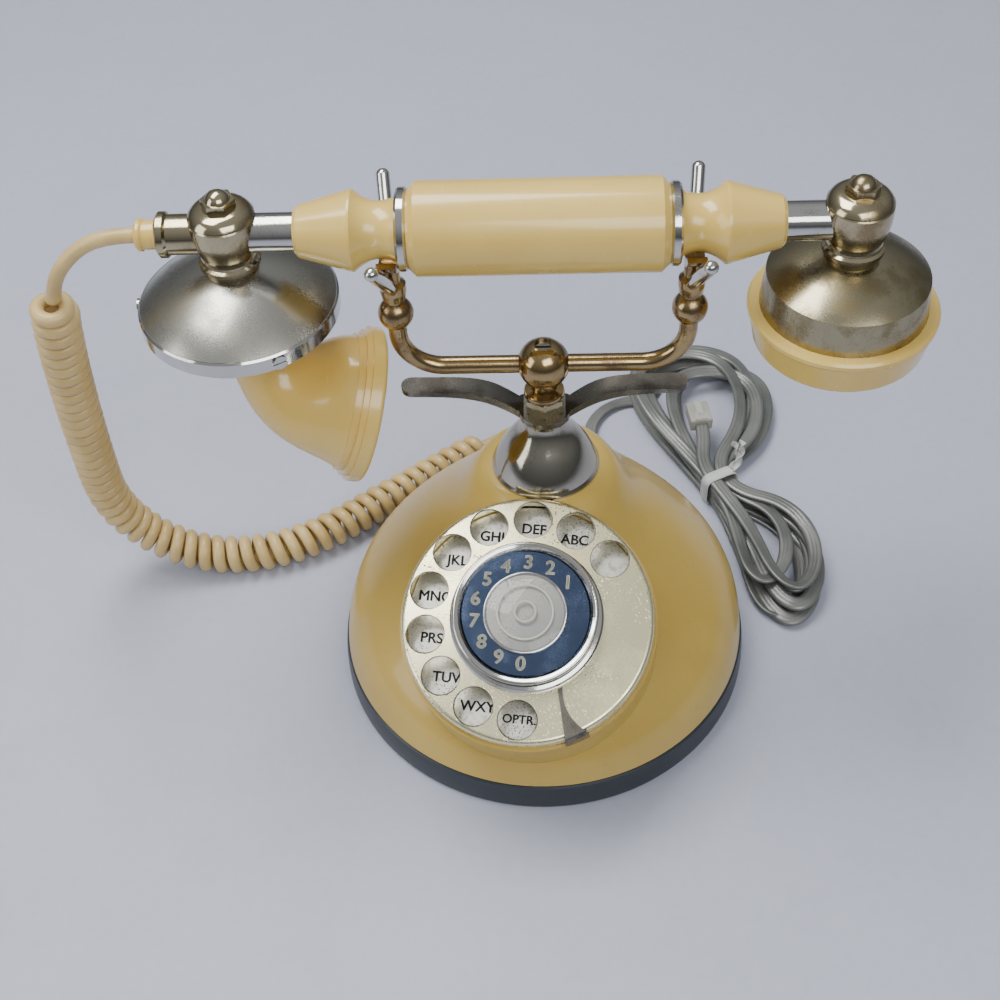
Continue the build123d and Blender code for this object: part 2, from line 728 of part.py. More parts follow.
def prong_plane(side, lean):
    """The plane at a prong's root inside the boss, whose z runs out along the prong."""
    lie = math.radians(prong_tilt)
    splay = math.radians(prong_splay)
    out = Vector(side * math.sin(splay), lean * math.sin(lie) * math.cos(splay),
                 math.cos(lie) * math.cos(splay))
    root = Vector(post_x + side * bar_half, post_y + lean * prong_apart / 2, boss_z) + out * prong_root
    return Plane(root, x_dir=(1, 0, 0), z_dir=out)


save(pair(knob(-1), knob(1)), "yokes")

with BuildPart() as prongs:
    for side in (-1, 1):
        for lean in (-1, 1):
            add(turned(prong_plane(side, lean), (0, 0), (prong_r - fit, 0), (prong_r - fit, prong_len),
                       domed(prong_r - fit, prong_len, prong_dome)))
save(prongs.part, "prongs")

# ======================================== Handset ===================================================
centre_x = post_x + handset_play
along = tube_plane(centre_x, post_y, axis_z)
middle = Plane((centre_x, post_y, axis_z), x_dir=(0, 1, 0), z_dir=(1, 0, 0))
bore_r = tube_r + fit
ring_end = grip_half + ring_w
waist_end = ring_end + waist_len
cone_end = waist_end + cone_len


def both_ends(one):
    """A piece of the handset and its mirror image at the other end."""
    with BuildPart() as pair:
        add(one)
        mirror(about=middle)
    return pair.part


def hub_plane(side):
    """The upright plane on a hub's axis, with its origin at the height of the handset's axis."""
    return Plane((centre_x + side * hub_half, post_y, axis_z), x_dir=(1, 0, 0), z_dir=(0, 0, 1))


save(turned(along, (bore_r, -grip_half), (grip_r - grip_chamfer, -grip_half),
            (grip_r, -grip_half + grip_chamfer), (grip_r, grip_half - grip_chamfer),
            (grip_r - grip_chamfer, grip_half), (bore_r, grip_half)), "grip")
save(both_ends(turned(along, (bore_r, grip_half), (ring_r - 0.8, grip_half), (ring_r, grip_half + 0.8),
                      (ring_r, ring_end - 0.8), (ring_r - 0.8, ring_end), (bore_r, ring_end))),
     "grip_rings")
save(both_ends(turned(along, (bore_r, ring_end), (waist_end_r, ring_end),
                      [(waist_r, ring_end + 0.46 * waist_len), (cone_big_r, waist_end)],
                      (cone_big_r, waist_end + 0.8), (cone_small_r, cone_end - 1.2),
                      (cone_small_r - 1.2, cone_end), (bore_r, cone_end))), "grip_cones")
tube_end = hub_half - hub_r + 4.0
save(turned(along, (tube_r - tube_wall, -tube_end), (tube_r, -tube_end), (tube_r, tube_end),
            (tube_r - tube_wall, tube_end)), "handset_tube")

neck_z = -hub_down - neck_h
ferrule_in = hub_half + hub_r - 4.0
ferrule_out = hub_half + hub_r + ferrule_len
outward = Plane((centre_x, post_y, axis_z), x_dir=(0, 0, 1), z_dir=(-1, 0, 0))


def hub(side):
    """A hub of the handset: a barrel across the tube's end, with stepped rings down to the bell."""
    with BuildPart() as body:
        add(turned(hub_plane(side), (stud_r + fit, neck_z), (neck_r, neck_z), (neck_r, -hub_down - 4.4),
                   (hub_r - 0.6, -hub_down - 3.8), (hub_r - 0.6, -hub_down - 2.4),
                   (hub_r - 1.6, -hub_down - 1.8), (hub_r - 1.6, -hub_down - 0.8),
                   (hub_r - 1.9, -hub_down), ((hub_r - 0.3, -0.25 * hub_down), (hub_r, hub_up - 0.5)),
                   (hub_r - 0.5, hub_up), (stud_r + fit, hub_up)))
        with BuildSketch(tube_plane(centre_x + side * tube_end, post_y, axis_z)):
            Circle(bore_r)
        extrude(amount=-side * 2 * hub_r, mode=Mode.SUBTRACT)
    return body.part


with BuildPart() as hub_left:
    add(hub(-1))
    with BuildSketch(outward.offset(ferrule_in)):
        Circle(ferrule_r + fit)
    extrude(amount=hub_r, mode=Mode.SUBTRACT)
save(pair(hub_left.part, hub(1)), "hubs")

cap_top = hub_up + cap_h
save(both_ends(turned(hub_plane(1), (stud_r + fit, hub_up), (hub_r - 0.3, hub_up), (hub_r, hub_up + 0.5),
                      [(hub_r - 1.4, hub_up + 0.62 * cap_h), (cap_top_r, cap_top)],
                      (stud_r + fit, cap_top))), "hub_caps")
stud_low = neck_z - bell_wall - 1.6
with BuildPart() as acorn_bolt:
    with BuildSketch(hub_plane(1).offset(cap_top)):
        RegularPolygon(acorn_across / 2, 6, major_radius=False)
    extrude(amount=acorn_hex_h)
    add(turned(hub_plane(1), (0, stud_low), (2.2 * stud_r, stud_low), (2.2 * stud_r, neck_z - bell_wall),
               (stud_r, neck_z - bell_wall), (stud_r, cap_top), (acorn_r, cap_top),
               (acorn_r, cap_top + acorn_hex_h), domed(acorn_r, cap_top + acorn_hex_h, 0.7 * acorn_r)))
save(both_ends(acorn_bolt.part), "acorn_bolts")

shoulder_z = neck_z - bell_drop
band_low = shoulder_z - band_h
skirt_out = band_r - 2.2
skirt_in = skirt_out - bell_wall
save(turned(hub_plane(-1), (stud_r + fit, neck_z), (neck_r, neck_z),
            [(0.65 * transmitter_r, neck_z - 0.4 * bell_drop), (transmitter_r, shoulder_z)],
            (skirt_out, shoulder_z), (skirt_out, band_low + 0.8), (skirt_in, band_low + 0.8),
            (skirt_in, shoulder_z - bell_wall), [(0.65 * transmitter_r - 0.6,
                                                  neck_z - 0.4 * bell_drop - 1.3 * bell_wall),
                                                 (neck_r, neck_z - 1.3 * bell_wall)],
            (neck_r - 1.0, neck_z - bell_wall), (stud_r + fit, neck_z - bell_wall)), "transmitter_bell")

band_screw_r = 2.5
band_screw_spots = (-60, 60, 180)
band_screw_out = 0.8
band_mid = (shoulder_z + band_low) / 2


def band_plane(spot, distance):
    """A plane square to the transmitter band, at an angle round it and a distance from the hub's axis."""
    out = Vector(math.cos(math.radians(spot)), math.sin(math.radians(spot)), 0)
    return Plane(hub_plane(-1).offset(band_mid).origin + out * distance, x_dir=(0, 0, 1), z_dir=out)


with BuildPart() as transmitter_band:
    add(turned(hub_plane(-1), (skirt_out + fit, band_low), (band_r - 0.6, band_low), (band_r, band_low + 0.6),
               (band_r, shoulder_z - 0.6), (band_r - 0.6, shoulder_z), (skirt_out + fit, shoulder_z)))
    for spot in band_screw_spots:
        with BuildSketch(band_plane(spot, skirt_out)):
            Circle(band_screw_r + fit)
        extrude(amount=band_r, mode=Mode.SUBTRACT)
save(transmitter_band.part, "transmitter_band")

with BuildPart() as band_screws:
    for spot in band_screw_spots:
        with BuildSketch(band_plane(spot, skirt_out + fit)):
            Circle(band_screw_r)
        extrude(amount=band_r + band_screw_out - skirt_out)
        with BuildSketch(band_plane(spot, band_r)):
            Rectangle(0.7, 3 * band_screw_r)
        extrude(amount=band_r, mode=Mode.SUBTRACT)
save(band_screws.part, "band_screws")

flange_low = band_low - horn_flange_t
transmitter_capsule = turned(hub_plane(-1), (0, band_low + 3.0 + capsule_h),
                             (capsule_r, band_low + 3.0 + capsule_h), (capsule_r, band_low + 3.0),
                             (skirt_in - fit, band_low + 3.0), (skirt_in - fit, band_low), (0, band_low))


def horn_plane(section):
    """The plane across the horn at one of its sections, square to the way that the horn points there."""
    reach, drop, aim, _ = section
    lean = math.radians(aim)
    swing = math.radians(horn_turn)
    out = Vector(math.cos(lean) * math.cos(swing), math.cos(lean) * math.sin(swing), math.sin(lean))
    middle_point = hub_plane(-1).origin + Vector(reach, 0, band_low + drop)
    return Plane(middle_point, x_dir=(-math.sin(swing), math.cos(swing), 0), z_dir=out)


with BuildPart() as horn:
    add(turned(hub_plane(-1), (0, flange_low), (horn_flange_r - 0.5, flange_low),
               (horn_flange_r, flange_low + 0.5), (horn_flange_r, band_low), (0, band_low)))
    for section in horn_sections:
        with BuildSketch(horn_plane(section)):
            Circle(section[3])
    loft()
    for section in horn_sections:
        with BuildSketch(horn_plane(section)):
            Circle(section[3] - horn_wall)
    loft(mode=Mode.SUBTRACT)
save(horn.part, "horn")

mouth = horn_plane(horn_sections[-1])
grille_seat = mouth_t - grille_t
mouth_in_r = horn_sections[-1][3] - horn_wall
save(turned(mouth, (mouth_in_r, 0), (mouth_r - 3.3, 0), (mouth_r - 3.3, 2.5), (mouth_r - 1.5, 2.5),
            (mouth_r - 1.5, 4.5), (mouth_r, 4.5), (mouth_r, mouth_t - 1.6),
            ((mouth_r - 0.4, mouth_t - 0.5), (mouth_r - 1.5, mouth_t)), (grille_r + fit, mouth_t),
            (grille_r + fit, grille_seat), (mouth_in_r, grille_seat)), "horn_mouth")

with BuildPart() as horn_grille:
    with BuildSketch(mouth.offset(grille_seat)):
        Circle(grille_r)
        Circle(grille_hole_r, mode=Mode.SUBTRACT)
        for ring in range(1, grille_rings + 1):
            with PolarLocations(ring * grille_pitch, 6 * ring):
                Circle(grille_hole_r, mode=Mode.SUBTRACT)
    extrude(amount=grille_t)
save(horn_grille.part, "horn_grille")

# The receiver hangs from the other hub: a bell, a tinted skirt and the cup that is held to the ear.
edge_z = neck_z - receiver_bell_drop
cup_top_z = -cup_top_drop
cup_low_z = cup_top_z - cup_h
skirt_low_z = edge_z - receiver_skirt_h
save(turned(hub_plane(1), (stud_r + fit, neck_z), (neck_r, neck_z),
            [(0.68 * receiver_r, neck_z - 0.36 * receiver_bell_drop), (receiver_r, edge_z)],
            (receiver_r - bell_wall, edge_z), [(0.68 * receiver_r - 0.6,
                                                neck_z - 0.36 * receiver_bell_drop - 1.2 * bell_wall),
                                               (neck_r, neck_z - 1.2 * bell_wall)],
            (neck_r - 1.0, neck_z - bell_wall), (stud_r + fit, neck_z - bell_wall)), "receiver_bell")
save(turned(hub_plane(1), (receiver_r - bell_wall, edge_z), (receiver_r, edge_z),
            (receiver_skirt_r, cup_top_z), (receiver_skirt_r, skirt_low_z),
            (receiver_skirt_r - bell_wall, skirt_low_z), (receiver_skirt_r - bell_wall, cup_top_z)),
     "receiver_skirt")

dish_top = cup_low_z + dish_depth
cavity_r = receiver_skirt_r - bell_wall
with BuildPart() as receiver_cup:
    add(turned(hub_plane(1), (receiver_skirt_r + fit, cup_top_z), (cup_r - 0.8, cup_top_z),
               (cup_r, cup_top_z - 0.8), (cup_r, cup_top_z - 2.2), (cup_r - 0.5, cup_top_z - 3.0),
               (cup_low_r, cup_low_z + 2.4), ((cup_low_r - 0.7, cup_low_z + 0.7),
                                              (cup_low_r - 2.4, cup_low_z)), (dish_r + 2.0, cup_low_z),
               [(0.55 * dish_r, dish_top - 0.8), (0, dish_top)], (0, dish_top + cup_wall),
               (cavity_r, dish_top + cup_wall), (cavity_r, skirt_low_z),
               (receiver_skirt_r + fit, skirt_low_z)))
    with BuildSketch(hub_plane(1).offset(cup_low_z)):
        Circle(grille_hole_r)
        for ring in (1, 2):
            with PolarLocations(ring * grille_pitch, 6 * ring):
                Circle(grille_hole_r)
    extrude(amount=cup_h, mode=Mode.SUBTRACT)
save(receiver_cup.part, "receiver_cup")
capsule_low = dish_top + cup_wall
receiver_capsule = turned(hub_plane(1), (0, capsule_low), (cavity_r - fit, capsule_low),
                          (cavity_r - fit, capsule_low + 1.6), (capsule_r, capsule_low + 1.6),
                          (capsule_r, capsule_low + capsule_h), (0, capsule_low + capsule_h))
save(pair(transmitter_capsule, receiver_capsule), "capsules")

save(turned(outward, (0, ferrule_in), (ferrule_r, ferrule_in), (ferrule_r, ferrule_out - 3.4),
            (ferrule_lip_r, ferrule_out - 2.6), (ferrule_lip_r, ferrule_out - 0.6),
            (ferrule_lip_r - 0.6, ferrule_out), (grommet_r + fit, ferrule_out),
            (grommet_r + fit, ferrule_out - grommet_seat), (0, ferrule_out - grommet_seat)),
     "cord_ferrule")
grommet_out = ferrule_out + grommet_len
save(turned(outward, (0, ferrule_out - grommet_seat), (grommet_r, ferrule_out - grommet_seat),
            (grommet_r, ferrule_out + 0.3), (0.9 * grommet_r, ferrule_out + 1.0),
            (0.9 * grommet_r, grommet_out - 2.6), (grommet_r, grommet_out - 1.8),
            (grommet_r, grommet_out - 0.8), (grommet_r - 0.8, grommet_out), (0, grommet_out)),
     "cord_grommet")

# ======================================== Inside the base ===========================================
# The rod closes a pile of contact leaves, which hang on a bracket from the spring's seat.
leaf_top_z = rod_low_z - 0.5
leaf_levels = [leaf_top_z - k * leaf_step for k in range(leaf_count)]
block_w = 8.0
block_x = post_x + bracket_out - bracket_t - block_w / 2


def leaves(thickness):
    """The contact leaves, each a flat strip from the block to under the plunger rod."""
    with BuildPart() as strips:
        for level in leaf_levels:
            with BuildSketch(Plane.XY.offset(level)):
                with Locations(((block_x + post_x - rod_r) / 2, post_y)):
                    Rectangle(block_x - post_x + rod_r, leaf_w)
            extrude(amount=-thickness)
    return strips.part


save(leaves(leaf_t), "switch_leaves")
with BuildPart() as switch_block:
    with BuildSketch(Plane.XY.offset(seat_z)):
        with Locations((post_x + bracket_out - 4.0, post_y)):
            Rectangle(8.0, switch_w)
    extrude(amount=-bracket_t)
    with BuildSketch(Plane.XY.offset(seat_z)):
        with Locations((post_x + bracket_out - bracket_t / 2, post_y)):
            Rectangle(bracket_t, switch_w)
    extrude(amount=leaf_top_z - switch_h - seat_z)
    with BuildSketch(Plane.XY.offset(leaf_top_z + 1.5)):
        with Locations((block_x, post_y)):
            Rectangle(block_w, switch_w)
    extrude(amount=-switch_h)
    add(leaves(leaf_t), mode=Mode.SUBTRACT)
save(switch_block.part, "switch_block")

# The ringer: two gongs on pillars, two coils, and a clapper that swings between the gongs.
ringer_base_t = 1.6
coil_top_z = inside_z + ringer_base_t + ringer_coil_h
with BuildPart() as ringer_frame:
    with BuildSketch(Plane.XY.offset(inside_z)):
        with Locations((0, gong_y)):
            Rectangle(gong_apart + 14, 14)
        with Locations((0, (gong_y + coil_y) / 2)):
            Rectangle(40, gong_y - coil_y + 16)
    extrude(amount=ringer_base_t)
    with BuildSketch(Plane.XY.offset(inside_z + ringer_base_t)):
        with Locations((-gong_apart / 2, gong_y), (gong_apart / 2, gong_y)):
            Circle(3.0)
    extrude(amount=gong_low_z - inside_z - ringer_base_t)
    with BuildSketch(Plane.XY.offset(inside_z + ringer_base_t)):
        with Locations((0, coil_y)):
            Circle(pivot_r)
    extrude(amount=ringer_coil_h + 6.0)
save(ringer_frame.part, "ringer_frame")

with BuildPart() as ringer_coils:
    with BuildSketch(Plane.XY.offset(inside_z + ringer_base_t)):
        with Locations((-ringer_coil_apart / 2, coil_y), (ringer_coil_apart / 2, coil_y)):
            Circle(ringer_coil_r)
    extrude(amount=ringer_coil_h)
save(ringer_coils.part, "ringer_coils")


def gong(side):
    """A ringer's gong: a thin bell on its pillar, open side down."""
    stand = Plane((side * gong_apart / 2, gong_y, gong_low_z), x_dir=(1, 0, 0), z_dir=(0, 0, 1))
    return turned(stand, (0, 0), (5.0, 0), [(gong_r - 3.0, -2.2), (gong_r - gong_t, -gong_h)],
                  (gong_r, -gong_h), [(gong_r - 2.2, -1.2), (6.0, gong_t)], (0, gong_t))


save(pair(gong(-1), gong(1)), "gongs")

clapper_z = coil_top_z + 0.6
rod_z = clapper_z + 1.6
with BuildPart() as clapper:
    with BuildSketch(Plane.XY.offset(clapper_z)):
        with Locations((0, coil_y)):
            Rectangle(ringer_coil_apart + 8, 6)
            Circle(4.0)
            Circle(pivot_r + running, mode=Mode.SUBTRACT)
    extrude(amount=1.6)
    with BuildSketch(Plane.XY.offset(rod_z)):
        with Locations((0, (gong_y + coil_y) / 2 + 2.0)):
            Rectangle(1.6, gong_y - coil_y)
    extrude(amount=1.6)
    with BuildSketch(Plane.XY.offset(rod_z)):
        with Locations((0, gong_y)):
            Circle(clapper_r)
    extrude(amount=gong_low_z - gong_h + 5.0 - rod_z)
save(clapper.part, "clapper")

# The network board stands on short feet in the front of the pan.
with BuildPart() as network_board:
    with BuildSketch(Plane.XY.offset(inside_z + board_rise)):
        with Locations((0, board_y)):
            Rectangle(board_w, board_d)
    extrude(amount=board_t)
    with BuildSketch(Plane.XY.offset(inside_z)):
        with Locations((0, board_y)):
            with GridLocations(board_w - 8, board_d - 8, 2, 2):
                Circle(2.0)
    extrude(amount=board_rise)
    with BuildSketch(Plane.XY.offset(inside_z + board_rise + board_t)):
        with Locations((-18, board_y)):
            Circle(6.0)
        with Locations((6, board_y)):
            Rectangle(20, 14)
    extrude(amount=9.0)
save(network_board.part, "network_board")

# ======================================== Cords =====================================================
def gland_face(x):
    """The point in the middle of a gland's outer face."""
    return (x, math.sqrt(pan_r**2 - x**2) + gland_out, gland_z)


def gland(x):
    """A cord gland through the wall at the back of the pan."""
    with BuildPart() as body:
        with BuildSketch(gland_plane(x)):
            Circle(gland_r)
        extrude(amount=gland_face(x)[1] - gland_plane(x).origin.Y)
    return body.part


save(pair(gland(coil_gland_x), gland(line_gland_x)), "cord_glands")


def route(name, points):
    """A cord's path: straight runs joined by arcs as wide as the two runs of each corner allow."""
    radii = []
    for before, corner, after in zip(points, points[1:], points[2:]):
        into = Vector(*corner) - Vector(*before)
        out = Vector(*after) - Vector(*corner)
        turn_angle = math.radians(into.get_angle(out))
        radii.append(0.45 * min(into.length, out.length) / math.tan(turn_angle / 2))
    print(name, "radii", [round(r, 1) for r in radii])
    with BuildLine() as path:
        FilletPolyline(*points, radius=radii)
    return path.wires()[0]


def cord(name, points, section):
    """A plain cord of one section along a route, checked against its section times its length."""
    path = route(name, points)
    into = (Vector(*points[1]) - Vector(*points[0])).normalized()
    across = into.cross(Vector(0, 0, 1)) if abs(into.Z) < 0.99 else (1, 0, 0)
    with BuildPart() as body:
        with BuildSketch(Plane(points[0], x_dir=across, z_dir=into)) as face:
            add(section)
        sweep(path=path)
    print(name, "length", round(path.length, 1), "volume ratio",
          round(body.part.volume / (face.sketch.area * path.length), 4))
    save(body.part, name)


with BuildSketch() as lead_section:
    Circle(lead_d / 2)
with BuildSketch() as coil_section:
    Circle(coil_d / 2)
with BuildSketch() as line_section:
    Rectangle(line_w, line_t)

lead_exit = (centre_x - grommet_out, post_y, axis_z)
cord("coil_lead", [lead_exit, (lead_exit[0] - lead_run, post_y, axis_z), lead_bend, coil_top],
     lead_section.sketch)
cord("curly_cord", [coil_start, *coil_points, coil_end], coil_section.sketch)
cord("coil_tail", [coil_end, *tail_points, gland_face(coil_gland_x)], lead_section.sketch)
cord("line_lead", [gland_face(line_gland_x), *line_points, line_end], line_section.sketch)


def tie_side(along_it, across_it):
    """A point of the table by the tie, along the strands and across them."""
    angle = math.radians(tie_heading)
    x = tie_at[0] + along_it * math.cos(angle) + across_it * math.sin(angle)
    y = tie_at[1] + along_it * math.sin(angle) - across_it * math.cos(angle)
    return (x, y)


# The hank is one solid of its outer shape: two lobes of loops that meet in the tie.
half_w = hank_w / 2
half_tie = tie_w / 2
with BuildPart() as line_hank:
    with BuildSketch(Plane.XY.offset(tie_t)):
        make_face(outline(tie_side(half_tie, -half_w), [*upper_lobe, tie_side(half_tie, half_w)],
                          tie_side(-half_tie, half_w), [*lower_lobe, tie_side(-half_tie, -half_w)]))
    extrude(amount=hank_h)
save(line_hank.part, "line_hank")

tie_plane = Plane((*tie_side(-half_tie, 0), tie_t + hank_h / 2),
                  x_dir=(math.sin(math.radians(tie_heading)), -math.cos(math.radians(tie_heading)), 0),
                  z_dir=(math.cos(math.radians(tie_heading)), math.sin(math.radians(tie_heading)), 0))
with BuildPart() as cord_tie:
    with BuildSketch(tie_plane):
        Rectangle(hank_w + 2 * tie_t, hank_h + 2 * tie_t)
        Rectangle(hank_w, hank_h, mode=Mode.SUBTRACT)
    extrude(amount=tie_w)
save(cord_tie.part, "cord_tie")

with BuildPart() as modular_plug:
    with BuildSketch(Plane((*plug_at, tie_t + hank_h), x_dir=(math.cos(math.radians(plug_heading)),
                                                              math.sin(math.radians(plug_heading)), 0),
                           z_dir=(0, 0, 1))):
        Rectangle(plug_len, plug_w)
    extrude(amount=plug_h)
save(modular_plug.part, "modular_plug")
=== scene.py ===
"""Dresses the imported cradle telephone: materials, lettering, cords, light and camera."""

import json
import logging
import math
from dataclasses import dataclass
from enum import Enum
from typing import Sequence

import bmesh
import bpy
import numpy as np
from mathutils import Matrix, Vector


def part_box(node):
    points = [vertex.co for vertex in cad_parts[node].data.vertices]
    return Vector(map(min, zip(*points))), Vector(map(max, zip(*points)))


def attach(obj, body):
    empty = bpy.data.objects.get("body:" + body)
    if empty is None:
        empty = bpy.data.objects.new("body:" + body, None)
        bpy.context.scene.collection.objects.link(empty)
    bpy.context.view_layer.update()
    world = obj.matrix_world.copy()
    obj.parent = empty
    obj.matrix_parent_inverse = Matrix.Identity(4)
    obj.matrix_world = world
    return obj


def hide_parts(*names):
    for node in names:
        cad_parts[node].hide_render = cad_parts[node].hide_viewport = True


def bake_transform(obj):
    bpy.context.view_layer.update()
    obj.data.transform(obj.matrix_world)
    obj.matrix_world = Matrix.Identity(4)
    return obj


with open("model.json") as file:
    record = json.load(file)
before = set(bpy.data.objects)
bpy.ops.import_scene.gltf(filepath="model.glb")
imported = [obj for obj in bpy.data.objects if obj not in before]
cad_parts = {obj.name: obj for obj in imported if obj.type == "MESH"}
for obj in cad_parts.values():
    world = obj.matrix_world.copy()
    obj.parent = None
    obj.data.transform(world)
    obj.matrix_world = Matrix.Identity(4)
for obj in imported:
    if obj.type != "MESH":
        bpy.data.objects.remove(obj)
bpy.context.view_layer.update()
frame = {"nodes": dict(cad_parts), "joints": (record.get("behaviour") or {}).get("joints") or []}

log = logging.getLogger("telephone")
MM = 0.001
Colour = tuple[float, float, float]
Point = tuple[float, float, float]


# ---------------------------------------------------------------------------------------------------
# Shader graphs
# ---------------------------------------------------------------------------------------------------
class Wire:
    """A value or colour in a shader graph, which can be used in sums."""

    def __init__(self, graph: "Graph", socket: bpy.types.NodeSocket) -> None:
        """Keeps the socket that carries the value.

        Args:
            graph: The graph that the socket belongs to.
            socket: The output socket.
        """
        self.graph = graph
        self.socket = socket

    def _join(self, operation: str, first: "Wire | float", second: "Wire | float") -> "Wire":
        node = self.graph.node("ShaderNodeMath", operation=operation)
        self.graph.feed(node.inputs[0], first)
        self.graph.feed(node.inputs[1], second)
        return Wire(self.graph, node.outputs[0])

    def __add__(self, other: "Wire | float") -> "Wire":
        return self._join("ADD", self, other)

    def __radd__(self, other: float) -> "Wire":
        return self._join("ADD", other, self)

    def __sub__(self, other: "Wire | float") -> "Wire":
        return self._join("SUBTRACT", self, other)

    def __rsub__(self, other: float) -> "Wire":
        return self._join("SUBTRACT", other, self)

    def __mul__(self, other: "Wire | float") -> "Wire":
        return self._join("MULTIPLY", self, other)

    def __rmul__(self, other: float) -> "Wire":
        return self._join("MULTIPLY", other, self)

    def __truediv__(self, other: "Wire | float") -> "Wire":
        return self._join("DIVIDE", self, other)

    def least(self, other: "Wire | float") -> "Wire":
        """The smaller of two values."""
        return self._join("MINIMUM", self, other)

    def between(self, low: float, high: float, start: float = 0.0, end: float = 1.0) -> "Wire":
        """The value taken smoothly from one range to another.

        Args:
            low: The value that gives start.
            high: The value that gives end.
            start: The result at and before low.
            end: The result at and past high.

        Returns:
            The new value.
        """
        node = self.graph.node("ShaderNodeMapRange", interpolation_type="SMOOTHSTEP")
        self.graph.feed(node.inputs["Value"], self)
        for name, value in (("From Min", low), ("From Max", high), ("To Min", start), ("To Max", end)):
            node.inputs[name].default_value = value
        return Wire(self.graph, node.outputs[0])


class Graph:
    """The node graph of one material."""

    def __init__(self, name: str) -> None:
        """Makes the material and its surface shader.

        Args:
            name: The material's name.
        """
        self.material = bpy.data.materials.new(name)
        self.material.use_nodes = True
        self.tree = self.material.node_tree
        self.surface = self.tree.nodes["Principled BSDF"]
        self._place: Wire | None = None

    def node(self, kind: str, **settings: object) -> bpy.types.Node:
        """Adds a node with the settings given."""
        made = self.tree.nodes.new(kind)
        for name, value in settings.items():
            setattr(made, name, value)
        return made

    def feed(self, socket: bpy.types.NodeSocket, value: "Wire | float | Sequence[float]") -> None:
        """Links a wire to an input, or sets a constant on it."""
        if isinstance(value, Wire):
            self.tree.links.new(value.socket, socket)
        elif isinstance(value, (int, float)):
            socket.default_value = value
        else:
            socket.default_value = (*value, 1.0) if socket.type == "RGBA" else tuple(value)

    @property
    def place(self) -> Wire:
        """The point of the object that is shaded, in metres."""
        if self._place is None:
            self._place = Wire(self, self.node("ShaderNodeTexCoord").outputs["Object"])
        return self._place

    def stretched(self, scale: Point) -> Wire:
        """The shaded point with its axes stretched.

        Args:
            scale: The factor along each axis.

        Returns:
            The stretched point.
        """
        node = self.node("ShaderNodeVectorMath", operation="MULTIPLY")
        self.feed(node.inputs[0], self.place)
        self.feed(node.inputs[1], scale)
        return Wire(self, node.outputs[0])

    def noise(self, size: float, detail: float = 3.0, stretch: Point = (1, 1, 1),
              offset: float = 0.0) -> Wire:
        """Cloudy noise from 0 to 1.

        Args:
            size: The size of its largest patches, in metres.
            detail: How many finer layers it has.
            stretch: The factor along each axis.
            offset: Moves the pattern, so that two are unlike.

        Returns:
            The noise.
        """
        node = self.node("ShaderNodeTexNoise", noise_dimensions="4D")
        self.feed(node.inputs["Vector"], self.stretched(stretch))
        self.feed(node.inputs["W"], offset)
        self.feed(node.inputs["Scale"], 1.0 / size)
        self.feed(node.inputs["Detail"], detail)
        return Wire(self, node.outputs["Fac"])

    def specks(self, spacing: float, size: float) -> Wire:
        """Round spots, 1 inside and 0 outside.

        Args:
            spacing: The mean distance between spots, in metres.
            size: The share of the spacing that a spot's radius has.

        Returns:
            The spots.
        """
        node = self.node("ShaderNodeTexVoronoi", feature="F1")
        self.feed(node.inputs["Vector"], self.place)
        self.feed(node.inputs["Scale"], 1.0 / spacing)
        self.feed(node.inputs["Randomness"], 1.0)
        return Wire(self, node.outputs["Distance"]).between(size, 0.6 * size)

    def mix(self, share: "Wire | float", first: "Wire | Colour", second: "Wire | Colour") -> Wire:
        """A colour between two others.

        Args:
            share: How much of the second colour there is.
            first: The first colour.
            second: The second colour.

        Returns:
            The mixed colour.
        """
        node = self.node("ShaderNodeMix", data_type="RGBA")
        self.feed(node.inputs[0], share)
        self.feed(node.inputs[6], first)
        self.feed(node.inputs[7], second)
        return Wire(self, node.outputs[2])

    def bump(self, height: Wire, depth: float, strength: float = 1.0) -> None:
        """Raises the surface by a height, at most depth metres."""
        node = self.node("ShaderNodeBump")
        self.feed(node.inputs["Height"], height)
        self.feed(node.inputs["Distance"], depth)
        self.feed(node.inputs["Strength"], strength)
        self.tree.links.new(node.outputs["Normal"], self.surface.inputs["Normal"])

    def set(self, **inputs: "Wire | float | Sequence[float]") -> "Graph":
        """Feeds the surface shader's inputs, named with underscores for spaces."""
        for name, value in inputs.items():
            self.feed(self.surface.inputs[name.replace("_", " ").title().replace("Ior", "IOR")], value)
        return self


